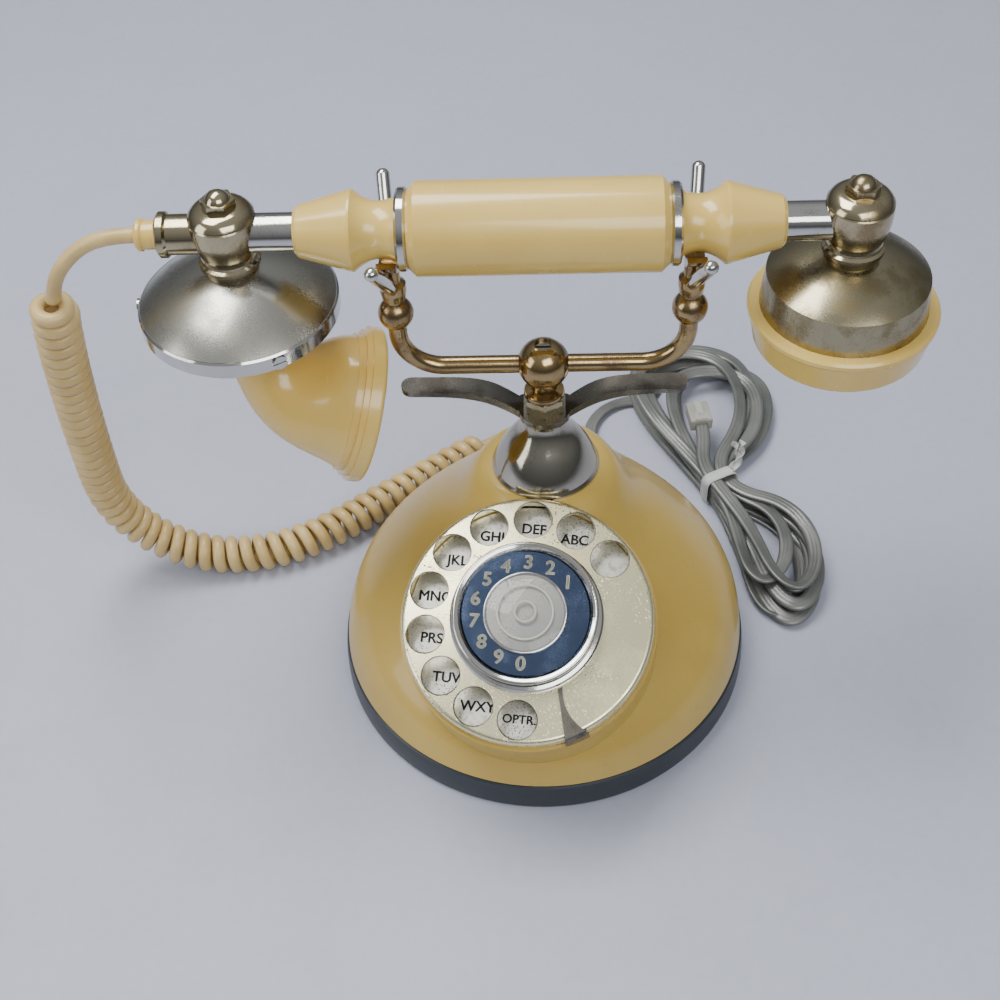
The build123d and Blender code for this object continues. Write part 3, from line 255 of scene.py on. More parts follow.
# ---------------------------------------------------------------------------------------------------
# Finishes
# ---------------------------------------------------------------------------------------------------
@dataclass(frozen=True)
class Plated:
    """A plated or bare metal, polished or satin, with tarnish and specks.

    Attributes:
        name: The finish's name.
        tint: The clean metal's colour.
        stain: The tarnish's colour.
        sheen: The roughness where it is clean.
        dull: The roughness where it is tarnished.
        tarnish: How much of the surface is tarnished, from 0 to 1.
        patch: The size of the tarnished patches, in metres.
        pits: The share of a speck's cell that it fills.
        pit_spacing: The distance between specks, in metres.
    """

    name: str
    tint: Colour
    stain: Colour
    sheen: float
    dull: float
    tarnish: float = 0.3
    patch: float = 0.012
    pits: float = 0.0
    pit_spacing: float = 0.0012

    def build(self) -> bpy.types.Material:
        """Makes the material."""
        graph = Graph(self.name)
        cloud = graph.noise(self.patch, 5.0)
        grain = graph.noise(0.0006, 2.0, offset=3.0)
        worn = (cloud + 0.25 * (grain - 0.5)).between(0.62 - 0.45 * self.tarnish, 0.86 - 0.45 * self.tarnish)
        colour = graph.mix(worn, self.tint, self.stain)
        rough = self.sheen + (self.dull - self.sheen) * worn + 0.05 * grain
        if self.pits > 0:
            scatter = graph.noise(0.02, 2.0, offset=7.0).between(0.42, 0.62)
            spots = graph.specks(self.pit_spacing, self.pits) * scatter
            colour = graph.mix(0.75 * spots, colour, tuple(0.12 * c for c in self.stain))
            rough = rough + 0.3 * spots
            graph.bump(1.0 - spots, 0.00006)
        else:
            graph.bump(grain, 0.000012)
        graph.set(base_color=colour, metallic=1.0, roughness=rough)
        return graph.material


@dataclass(frozen=True)
class Glossy:
    """An aged lacquer or glossy moulding: cloudy in colour, with fine wear.

    Attributes:
        name: The finish's name.
        tint: The main colour.
        aged: The colour where it has darkened.
        sheen: The roughness.
        coat: The weight of the clear coat.
        grime: How much dark dust there is.
        ripple: The height of its gentle unevenness, in metres.
    """

    name: str
    tint: Colour
    aged: Colour
    sheen: float = 0.22
    coat: float = 0.6
    grime: float = 0.15
    ripple: float = 0.00004

    def build(self) -> bpy.types.Material:
        """Makes the material."""
        graph = Graph(self.name)
        cloud = graph.noise(0.06, 3.0)
        fine = graph.noise(0.0025, 3.0, offset=5.0)
        colour = graph.mix(cloud.between(0.35, 0.7), self.tint, self.aged)
        dust = graph.specks(0.0045, 0.07) * graph.noise(0.03, 1.0, offset=9.0).between(0.5, 0.65)
        scratch = graph.noise(0.004, 1.0, stretch=(1, 0.06, 1), offset=11.0).between(0.70, 0.74)
        colour = graph.mix(self.grime * (fine.between(0.55, 0.8) + 2.0 * dust).least(1.0), colour,
                           tuple(0.25 * c for c in self.aged))
        rough = self.sheen + 0.10 * fine + 0.18 * scratch
        graph.bump(graph.noise(0.02, 1.0, offset=2.0) + 0.12 * fine, self.ripple)
        graph.set(base_color=colour, roughness=rough, coat_weight=self.coat, coat_roughness=0.08, ior=1.5)
        return graph.material


@dataclass(frozen=True)
class Satin:
    """A plain satin paint, moulding or laminate with a fine grain.

    Attributes:
        name: The finish's name.
        tint: The main colour.
        shade: The colour of its darker grain.
        rough: The roughness.
        grain: The size of the grain, in metres.
        relief: The height of the grain, in metres.
    """

    name: str
    tint: Colour
    shade: Colour
    rough: float = 0.45
    grain: float = 0.001
    relief: float = 0.00003

    def build(self) -> bpy.types.Material:
        """Makes the material."""
        graph = Graph(self.name)
        grain = graph.noise(self.grain, 3.0)
        cloud = graph.noise(0.03, 3.0, offset=4.0)
        darker = 0.6 * grain.between(0.35, 0.75) + 0.4 * cloud.between(0.35, 0.7)
        colour = graph.mix(darker, self.tint, self.shade)
        graph.bump(grain, self.relief)
        graph.set(base_color=colour, roughness=self.rough + 0.15 * cloud - 0.05)
        return graph.material


@dataclass(frozen=True)
class Vinyl:
    """A cord's vinyl, a little cloudy, with fine smears.

    Attributes:
        name: The finish's name.
        tint: The main colour.
        shade: The colour of its darker stretches.
        rough: The roughness.
        metallic: How metallic its pigment looks.
    """

    name: str
    tint: Colour
    shade: Colour
    rough: float = 0.35
    metallic: float = 0.0

    def build(self) -> bpy.types.Material:
        """Makes the material."""
        graph = Graph(self.name)
        cloud = graph.noise(0.018, 3.0)
        fine = graph.noise(0.0012, 2.0, offset=6.0)
        colour = graph.mix(cloud.between(0.3, 0.75), self.tint, self.shade)
        colour = graph.mix(0.25 * fine.between(0.55, 0.8), colour, tuple(0.5 * c for c in self.shade))
        graph.bump(fine, 0.00002)
        graph.set(base_color=colour, roughness=self.rough + 0.12 * fine, metallic=self.metallic,
                  coat_weight=0.15)
        return graph.material


@dataclass(frozen=True)
class Clear:
    """A clear glass or clear plastic moulding.

    Attributes:
        name: The finish's name.
        tint: The colour seen through it.
        haze: The roughness.
        solid: How much of the light doesn't go through.
    """

    name: str
    tint: Colour
    haze: float = 0.04
    solid: float = 0.25

    def build(self) -> bpy.types.Material:
        """Makes the material."""
        graph = Graph(self.name)
        smear = graph.noise(0.004, 3.0)
        fresnel = graph.node("ShaderNodeFresnel")
        graph.feed(fresnel.inputs["IOR"], 1.45)
        rim = Wire(graph, fresnel.outputs[0])
        graph.set(base_color=self.tint, roughness=self.haze + 0.08 * smear, specular_ior_level=0.9,
                  alpha=(self.solid + 1.4 * rim + 0.06 * smear).least(1.0), coat_weight=0.5,
                  coat_roughness=0.02)
        return graph.material


class Finish(Enum):
    """The telephone's finishes."""

    CREAM = Glossy("cream_lacquer", (0.56, 0.385, 0.085), (0.49, 0.325, 0.062), sheen=0.26, coat=0.35,
                   grime=0.10)
    HORN = Glossy("cream_moulding", (0.76, 0.54, 0.145), (0.68, 0.45, 0.10), sheen=0.20, coat=0.5, grime=0.08)
    SLATE = Satin("slate_band", (0.030, 0.037, 0.044), (0.020, 0.025, 0.031), rough=0.36, grain=0.0008)
    BLACK = Satin("black_edge", (0.010, 0.010, 0.011), (0.006, 0.006, 0.007), rough=0.4)
    INK = Satin("black_ink", (0.012, 0.012, 0.013), (0.020, 0.020, 0.020), rough=0.5)
    NUMERAL = Satin("pale_ink", (0.56, 0.55, 0.42), (0.40, 0.39, 0.30), rough=0.45)
    CHROME = Plated("bright_chrome", (0.58, 0.57, 0.54), (0.34, 0.31, 0.25), 0.07, 0.22, tarnish=0.18)
    # painted shade: a darker copy of the bright chrome, given to the pedestal
    SHADED = Plated("chrome_with_painted_shade", (0.44, 0.41, 0.34), (0.24, 0.21, 0.16), 0.09, 0.22, tarnish=0.25)
    WARM_CHROME = Plated("warm_chrome", (0.46, 0.40, 0.26), (0.27, 0.21, 0.12), 0.10, 0.28, tarnish=0.35)
    NICKEL = Plated("satin_nickel", (0.45, 0.44, 0.39), (0.27, 0.25, 0.20), 0.22, 0.38, tarnish=0.40,
                    patch=0.02)
    TINTED = Plated("tinted_nickel", (0.36, 0.32, 0.21), (0.22, 0.18, 0.10), 0.20, 0.36, tarnish=0.45)
    BRASS = Plated("worn_brass", (0.40, 0.29, 0.14), (0.20, 0.13, 0.07), 0.14, 0.30, tarnish=0.42,
                   patch=0.009)
    DIAL = Plated("dial_plate", (0.93, 0.87, 0.56), (0.68, 0.61, 0.36), 0.24, 0.38, tarnish=0.34, patch=0.02,
                  pits=0.30, pit_spacing=0.0013)
    PLATE = Plated("letter_plate", (0.66, 0.64, 0.56), (0.46, 0.44, 0.38), 0.36, 0.50, tarnish=0.34,
                   patch=0.0016, pits=0.34, pit_spacing=0.0009)
    MIRROR = Plated("number_mirror", (0.09, 0.125, 0.21), (0.055, 0.075, 0.125), 0.13, 0.30, tarnish=0.35,
                    patch=0.01, pits=0.22, pit_spacing=0.0006)
    # dark steel for the finger stop and ball screw; on the wing plate and the hole lips this finish is
    # painted shade
    DARK = Plated("dark_steel_and_painted_shade", (0.24, 0.225, 0.19), (0.10, 0.09, 0.075), 0.22, 0.40, tarnish=0.45, pits=0.2)
    STEEL = Plated("zinc_steel", (0.55, 0.56, 0.56), (0.38, 0.38, 0.36), 0.28, 0.42, tarnish=0.35)
    BOARD = Satin("board_laminate", (0.16, 0.085, 0.035), (0.11, 0.055, 0.02), rough=0.5)
    FELT = Satin("felt", (0.02, 0.02, 0.021), (0.012, 0.012, 0.013), rough=0.85, grain=0.0005, relief=0.0002)
    COIL = Vinyl("cream_vinyl", (0.64, 0.47, 0.20), (0.50, 0.35, 0.13), rough=0.32)
    CORD = Vinyl("grey_vinyl", (0.20, 0.205, 0.19), (0.12, 0.125, 0.12), rough=0.30, metallic=0.35)
    PAPER = Satin("tie_paper", (0.66, 0.66, 0.65), (0.42, 0.42, 0.42), rough=0.75, grain=0.0006)
    # painted highlight: the pale finish of the lens's moulded rings
    CARD = Satin("painted_highlight_rings", (0.60, 0.58, 0.50), (0.50, 0.47, 0.36), rough=0.6)
    GLASS = Clear("clear_lens", (0.85, 0.86, 0.86), haze=0.03, solid=0.10)
    PLUG = Clear("clear_plug", (0.60, 0.60, 0.55), haze=0.12, solid=0.45)
    GOLD = Plated("gold_contact", (0.80, 0.56, 0.20), (0.55, 0.38, 0.14), 0.15, 0.25)
    FLOOR = Satin("pale_table", (0.44, 0.46, 0.55), (0.41, 0.43, 0.52), rough=0.5, grain=0.004,
                  relief=0.00004)

    def material(self) -> bpy.types.Material:
        """The finish's material, made when it is first asked for."""
        return bpy.data.materials.get(self.value.name) or self.value.build()


NODE_FINISHES: dict[Finish, tuple[str, ...]] = {
    Finish.CREAM: ("base_shell",),
    Finish.HORN: ("grip", "grip_cones", "horn", "horn_mouth", "horn_grille", "receiver_cup", "cord_grommet"),
    Finish.SLATE: ("base_pan",),
    Finish.FELT: ("base_felt",),
    Finish.CHROME: ("grip_rings", "handset_tube", "prongs", "dial_bezel", "band_screws", "transmitter_band"),
    Finish.SHADED: ("pedestal",),
    Finish.WARM_CHROME: ("hubs", "hub_caps", "acorn_bolts", "hex_nut", "cord_ferrule"),
    Finish.NICKEL: ("transmitter_bell",),
    Finish.TINTED: ("receiver_bell", "receiver_skirt"),
    Finish.BRASS: ("cradle_ball", "cradle_bar", "yokes", "post_bush", "clapper", "main_gear"),
    Finish.DIAL: ("finger_wheel",),
    Finish.PLATE: ("letter_plate",),
    Finish.MIRROR: ("number_disc",),
    # painted shade: the chrome wing plate is darkened with this finish
    Finish.DARK: ("finger_stop", "ball_screw", "wing_plate"),
    Finish.STEEL: ("base_screws", "dial_frame", "dial_shaft", "governor_rotor", "gongs", "ringer_frame",
                   "plunger_rod", "return_spring", "spring_seat", "capsules", "switch_leaves"),
    Finish.BLACK: ("switch_block", "cord_glands"),
    Finish.BOARD: ("network_board", "ringer_coils"),
    Finish.GLASS: ("centre_lens",),
    Finish.PLUG: ("modular_plug",),
    Finish.COIL: ("coil_lead", "curly_cord", "coil_tail"),
    Finish.CORD: ("line_lead", "line_hank"),
    Finish.PAPER: ("cord_tie",),
}


# ---------------------------------------------------------------------------------------------------
# Mesh tools
# ---------------------------------------------------------------------------------------------------
def new_piece(name: str, mesh: bmesh.types.BMesh, finish: Finish, body: str,
              smooth: bool = True) -> bpy.types.Object:
    """Turns a mesh into a piece of the telephone.

    Args:
        name: The piece's name.
        mesh: Its mesh, in the telephone's frame.
        finish: Its finish.
        body: The body that it rides on.
        smooth: Whether its faces are shaded smooth.

    Returns:
        The object.
    """
    bmesh.ops.remove_doubles(mesh, verts=mesh.verts, dist=1e-7)
    bmesh.ops.recalc_face_normals(mesh, faces=mesh.faces)
    for face in mesh.faces:
        face.smooth = smooth
    data = bpy.data.meshes.new(name)
    mesh.to_mesh(data)
    mesh.free()
    piece = bpy.data.objects.new(name, data)
    bpy.context.scene.collection.objects.link(piece)
    data.materials.append(finish.material())
    if body:
        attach(piece, body)
    log.info("%s: %d faces on %s", name, len(data.polygons), body or "its own")
    return piece


def swept(mesh: bmesh.types.BMesh, path: np.ndarray, sides: np.ndarray, ups: np.ndarray,
          section: np.ndarray, scale: np.ndarray | None = None, closed: bool = False) -> None:
    """Adds a section swept along a path.

    Args:
        mesh: The mesh to add to.
        path: The path's points.
        sides: The direction of the section's x at each point.
        ups: The direction of the section's y at each point.
        section: The section's points.
        scale: The section's size at each point.
        closed: Whether the path's ends meet.
    """
    rings = []
    for index, (centre, side, up) in enumerate(zip(path, sides, ups)):
        size = 1.0 if scale is None else scale[index]
        rings.append([mesh.verts.new(centre + size * (x * side + y * up)) for x, y in section])
    pairs = list(zip(rings, rings[1:])) + ([(rings[-1], rings[0])] if closed else [])
    for first, second in pairs:
        for k in range(len(section)):
            after = (k + 1) % len(section)
            mesh.faces.new((first[k], first[after], second[after], second[k]))
    if not closed:
        mesh.faces.new(rings[0])
        mesh.faces.new(reversed(rings[-1]))


def circle(radius: float, count: int) -> np.ndarray:
    """The points of a circle about the origin."""
    angles = np.linspace(0, 2 * math.pi, count, endpoint=False)
    return radius * np.column_stack((np.cos(angles), np.sin(angles)))


def carried(path: np.ndarray, first_side: Sequence[float]) -> tuple[np.ndarray, np.ndarray, np.ndarray]:
    """Frames carried along a path without twist.

    Args:
        path: The path's points.
        first_side: The sideways direction at the start.

    Returns:
        The directions along, to the side and up at each point.
    """
    along = np.gradient(path, axis=0)
    along /= np.linalg.norm(along, axis=1)[:, None]
    sides = np.zeros_like(path)
    side = np.array(first_side, float)
    for index, direction in enumerate(along):
        side = side - direction * (side @ direction)
        side /= np.linalg.norm(side)
        sides[index] = side
    return along, sides, np.cross(along, sides)


def evenly(points: np.ndarray, step: float) -> np.ndarray:
    """Points a fixed distance apart along a line of points."""
    lengths = np.concatenate(([0.0], np.cumsum(np.linalg.norm(np.diff(points, axis=0), axis=1))))
    count = max(4, int(round(lengths[-1] / step)) + 1)
    spots = np.linspace(0, lengths[-1], count)
    return np.column_stack([np.interp(spots, lengths, points[:, k]) for k in range(3)])


def nurbs_line(name: str, points: Sequence[Point], resolution: int = 24) -> np.ndarray:
    """The smooth line of a cord's route.

    Args:
        name: The route's name.
        points: Its control points, in metres.
        resolution: How finely each span is divided.

    Returns:
        The points of the line.
    """
    curve = bpy.data.curves.new(name + "_route", "CURVE")
    curve.dimensions = "3D"
    curve.resolution_u = resolution
    spline = curve.splines.new("NURBS")
    spline.points.add(len(points) - 1)
    for spot, point in zip(spline.points, points):
        spot.co = (*point, 1.0)
    spline.order_u = 3
    spline.use_endpoint_u = True
    holder = bpy.data.objects.new(name + "_route", curve)
    bpy.context.scene.collection.objects.link(holder)
    line = bpy.data.meshes.new_from_object(holder)
    found = np.array([vertex.co for vertex in line.vertices], float)
    bpy.data.objects.remove(holder)
    bpy.data.curves.remove(curve)
    bpy.data.meshes.remove(line)
    return found


# ---------------------------------------------------------------------------------------------------
# The dial
# ---------------------------------------------------------------------------------------------------
HOLE_RING = 35.8 * MM
HOLE_FIRST = 48.9
HOLE_STEP = 25.5
HOLE_RADIUS = 6.9 * MM
PLATE_DEPTH = 7.0 * MM
DISC_RISE = 7.0 * MM
LETTER_RING = 34.5 * MM
LETTER_SIZE = 5.2 * MM
WORD_SIZE = 4.3 * MM
DIGIT_RING = 18.0 * MM
DIGIT_SIZE = 6.8 * MM
INK_DEPTH = 0.02 * MM
INK_SHIFTS = ((0, 0), (0.03, 0), (-0.06, 0), (0.03, 0.025), (0, -0.05))
RING_SIDES = 10
LIP_RISE = 0.25 * MM
CARD_RADIUS = 13.4 * MM


class DialPlace:
    """The dial's face: its centre, its normal and its upward direction."""

    def __init__(self) -> None:
        """Reads the dial's joint."""
        joint = next(j for j in frame["joints"] if j["name"] == "dial_turn")
        self.centre = Vector(joint["pos_m"])
        self.normal = -Vector(joint["axis"]).normalized()
        self.right = Vector((0, 0, 1)).cross(self.normal).normalized()
        self.up = self.normal.cross(self.right).normalized()

    def spot(self, angle: float, radius: float, height: float) -> Vector:
        """A point of the dial.

        Args:
            angle: Degrees clockwise from the top.
            radius: Metres from the centre.
            height: Metres above the wheel's rim.

        Returns:
            The point.
        """
        swing = math.radians(angle)
        return (self.centre + self.right * (radius * math.sin(swing)) + self.up * (radius * math.cos(swing))
                + self.normal * height)

    def matrix(self, angle: float, radius: float, height: float) -> Matrix:
        """The placing of something flat on the dial, upright as the user sees it."""
        turned = Matrix((self.right, self.up, self.normal)).transposed().to_4x4()
        return Matrix.Translation(self.spot(angle, radius, height)) @ turned

    def ring(self, mesh: bmesh.types.BMesh, centre: Vector, radius: float, thick: float,
             count: int = 64) -> None:
        """Adds a round wire ring, flat on the dial.

        Args:
            mesh: The mesh to add to.
            centre: The ring's middle.
            radius: The ring's radius.
            thick: The wire's radius.
            count: How many steps it has.
        """
        angles = np.linspace(0, 2 * math.pi, count, endpoint=False)
        right, up, normal = np.array(self.right), np.array(self.up), np.array(self.normal)
        outs = np.array([right * math.cos(a) + up * math.sin(a) for a in angles])
        swept(mesh, np.array(centre) + radius * outs, outs, np.tile(normal, (count, 1)),
              circle(thick, RING_SIDES), closed=True)


@dataclass
class Dial:
    """The dial's lettering, rings and small trim.

    Attributes:
        place: Where the dial is.
    """

    place: DialPlace

    def build(self) -> None:
        """Makes the lettering and the trim."""
        groups = ("", "ABC", "DEF", "GHI", "JKL", "MNO", "PRS", "TUV", "WXY", "OPTR.")
        for index, letters in enumerate(groups):
            angle = HOLE_FIRST - index * HOLE_STEP
            if letters:
                size = WORD_SIZE if len(letters) > 3 else LETTER_SIZE
                self.text(f"letters_{index}", letters, size, angle, LETTER_RING, 0.06 * MM - PLATE_DEPTH,
                          Finish.INK, "telephone")
            self.text(f"digit_{index}", str((index + 1) % 10), DIGIT_SIZE, angle, DIGIT_RING,
                      DISC_RISE + 0.05 * MM, Finish.NUMERAL, "dial")
        self.lips()
        self.lens_rings()

    def text(self, name: str, words: str, size: float, angle: float, radius: float, height: float,
             finish: Finish, body: str) -> None:
        """Prints words flat on the dial, thickened by a few shifted copies.

        Args:
            name: The piece's name.
            words: What is printed.
            size: The letters' size.
            angle: Where it stands, in degrees clockwise from the top.
            radius: Its distance from the dial's centre.
            height: Its height above the wheel's rim.
            finish: The ink.
            body: The body that it rides on.
        """
        curve = bpy.data.curves.new(name, "FONT")
        curve.body = words
        curve.size = size
        curve.align_x = "CENTER"
        curve.align_y = "CENTER"
        curve.extrude = INK_DEPTH
        curve.resolution_u = 4
        holder = bpy.data.objects.new(name + "_text", curve)
        bpy.context.scene.collection.objects.link(holder)
        mesh = bmesh.new()
        made = bpy.data.meshes.new_from_object(holder)
        made.transform(self.place.matrix(angle, radius, height))
        for across, above in INK_SHIFTS:
            made.transform(Matrix.Translation(size * (across * self.place.right + above * self.place.up)))
            mesh.from_mesh(made)
        bpy.data.objects.remove(holder)
        bpy.data.meshes.remove(made)
        new_piece(name, mesh, finish, body, smooth=False)

    def lips(self) -> None:
        """Makes the rolled lip of each finger hole, dark as painted shade along the rim."""
        mesh = bmesh.new()
        for index in range(10):
            centre = self.place.spot(HOLE_FIRST - index * HOLE_STEP, HOLE_RING, LIP_RISE)
            self.place.ring(mesh, centre, HOLE_RADIUS - 0.05 * MM, 0.24 * MM)
        # painted shade: the lips are dark to stand for the shade round each hole's rim
        new_piece("hole_lips", mesh, Finish.DARK, "dial")

    def lens_rings(self) -> None:
        """Makes the plate under the lens, and the moulded rings of the lens in a pale finish that paints
        their highlight.
        """
        mesh = bmesh.new()
        card = bmesh.ops.create_circle(mesh, cap_ends=True, segments=72, radius=CARD_RADIUS,
                                       matrix=self.place.matrix(0, 0, DISC_RISE + 0.12 * MM))
        bmesh.ops.inset_region(mesh, faces=[f for v in card["verts"] for f in v.link_faces][:1],
                               thickness=0.6 * MM)
        new_piece("lens_card", mesh, Finish.NICKEL, "dial")
        mesh = bmesh.new()
        self.place.ring(mesh, self.place.spot(0, 0, DISC_RISE + 0.35 * MM), 14.2 * MM, 0.45 * MM, 96)
        new_piece("lens_rim", mesh, Finish.CHROME, "dial")
        mesh = bmesh.new()
        self.place.ring(mesh, self.place.spot(0, 0, DISC_RISE + 1.4 * MM), 9.6 * MM, 0.45 * MM, 80)
        self.place.ring(mesh, self.place.spot(0, 0, DISC_RISE + 2.0 * MM), 3.6 * MM, 0.5 * MM, 48)
        # painted highlight: the rings are pale and opaque to stand for the light they catch
        new_piece("lens_steps", mesh, Finish.CARD, "dial")


# ---------------------------------------------------------------------------------------------------
# The cords
# ---------------------------------------------------------------------------------------------------
@dataclass
class CurlyCord:
    """The curly cord, from its gland at the back of the base to the handset's grommet.

    Attributes:
        wire: The diameter of the cord itself.
        coil: The radius of the coil's centreline where it starts.
        swell: How much larger that radius is at the handset.
        shares: How far along the coil each pitch is.
        pitches: The rise of one turn on the table, at the bend, where it hangs and near the handset.
        tail: The straight length at the base.
        lead: The straight length at the handset.
        steps: The points of one turn.
        meeting: The height at which its two lengths meet.
    """

    wire: float = 5.1 * MM
    coil: float = 5.2 * MM
    swell: float = 0.6 * MM
    shares: tuple[float, ...] = (0.0, 0.5, 0.64, 0.85, 1.0)
    pitches: tuple[float, ...] = (6.4 * MM, 6.0 * MM, 5.4 * MM, 5.4 * MM, 6.4 * MM)
    tail: float = 0.066
    lead: float = 0.046
    steps: int = 28
    meeting: float = 0.095

    def build(self) -> None:
        """Makes the cord in two lengths that meet half-way up where it hangs."""
        gland_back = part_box("cord_glands")[1].y
        low = [(0.0159, gland_back, 0.0074), (0.0159, 0.0950, 0.0055), (0.0032, 0.1099, 0.0030),
               (-0.0107, 0.1113, 0.0045), (-0.0220, 0.1030, 0.0074), (-0.0620, 0.0735, 0.0074),
               (-0.1020, 0.0420, 0.0074), (-0.1425, 0.0370, 0.0074), (-0.1755, 0.0430, 0.0300),
               (-0.1730, 0.0365, 0.0800)]
        high = [(-0.1665, 0.0265, 0.1330), (-0.1596, 0.0186, 0.1690), (-0.1510, 0.0186, 0.1820)]
        first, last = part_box("cord_grommet")
        exit_point = (first.x, (first.y + last.y) / 2, (first.z + last.z) / 2)
        before = (exit_point[0] - 0.012, *exit_point[1:])
        route = evenly(nurbs_line("curly_cord", [*low, *high, before, exit_point]), 0.25 * MM)
        helix = self.helix(route)
        middle = int(np.argmin(np.abs(helix[:, 2] - self.meeting) + 10 * (helix[:, 0] > -0.12)))
        self.length("curly_cord_low", helix[: middle + 1],
                    ("coil_tail", "curly_cord"))
        self.length("curly_cord_high", helix[middle:][::-1],
                    ("coil_lead",))

    def helix(self, route: np.ndarray) -> np.ndarray:
        """The line of the wire: straight at both ends and coiled between them.

        Args:
            route: Points of the route, evenly spaced.

        Returns:
            The wire's centreline.
        """
        step = float(np.linalg.norm(route[1] - route[0]))
        run = np.arange(len(route)) * step
        total = run[-1]
        past_tail, before_lead = run - self.tail, total - self.lead - run
        rise = np.clip(past_tail / 0.007, 0, 1) * np.clip(before_lead / 0.006, 0, 1)
        share = np.clip(past_tail / (total - self.tail - self.lead), 0, 1)
        pitch = np.interp(share, self.shares, self.pitches)
        turning = np.cumsum(np.where(rise > 0, step / pitch, 0.0)) * 2 * math.pi
        _, sides, ups = carried(route, (1, 0, 0))
        radius = (self.coil + self.swell * share) * rise * rise * (3 - 2 * rise)
        fine = np.linspace(0, len(route) - 1, int(turning[-1] / (2 * math.pi) * self.steps) + 400)
        index = np.arange(len(route))

        def pick(values: np.ndarray) -> np.ndarray:
            """The values at the fine steps."""
            return np.interp(fine, index, values)

        centre = np.column_stack([pick(route[:, k]) for k in range(3)])
        side = np.column_stack([pick(sides[:, k]) for k in range(3)])
        up = np.column_stack([pick(ups[:, k]) for k in range(3)])
        angle, reach = pick(turning), pick(radius)
        line = centre + reach[:, None] * (np.cos(angle)[:, None] * side + np.sin(angle)[:, None] * up)
        line[:, 2] = np.maximum(line[:, 2], self.wire / 2)
        return line

    def length(self, name: str, line: np.ndarray,
               nodes: tuple[str, ...]) -> None:
        """Makes one length of the cord.

        Args:
            name: The piece's name.
            line: Its centreline, from where it leaves.
            nodes: The CAD nodes that it stands for.
        """
        _, sides, ups = carried(line, (0.3, 0.2, 1.0))
        mesh = bmesh.new()
        swept(mesh, line, sides, ups, circle(self.wire / 2, 12))
        piece = new_piece(name, mesh, Finish.COIL, "")
        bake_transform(piece)
        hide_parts(*nodes)


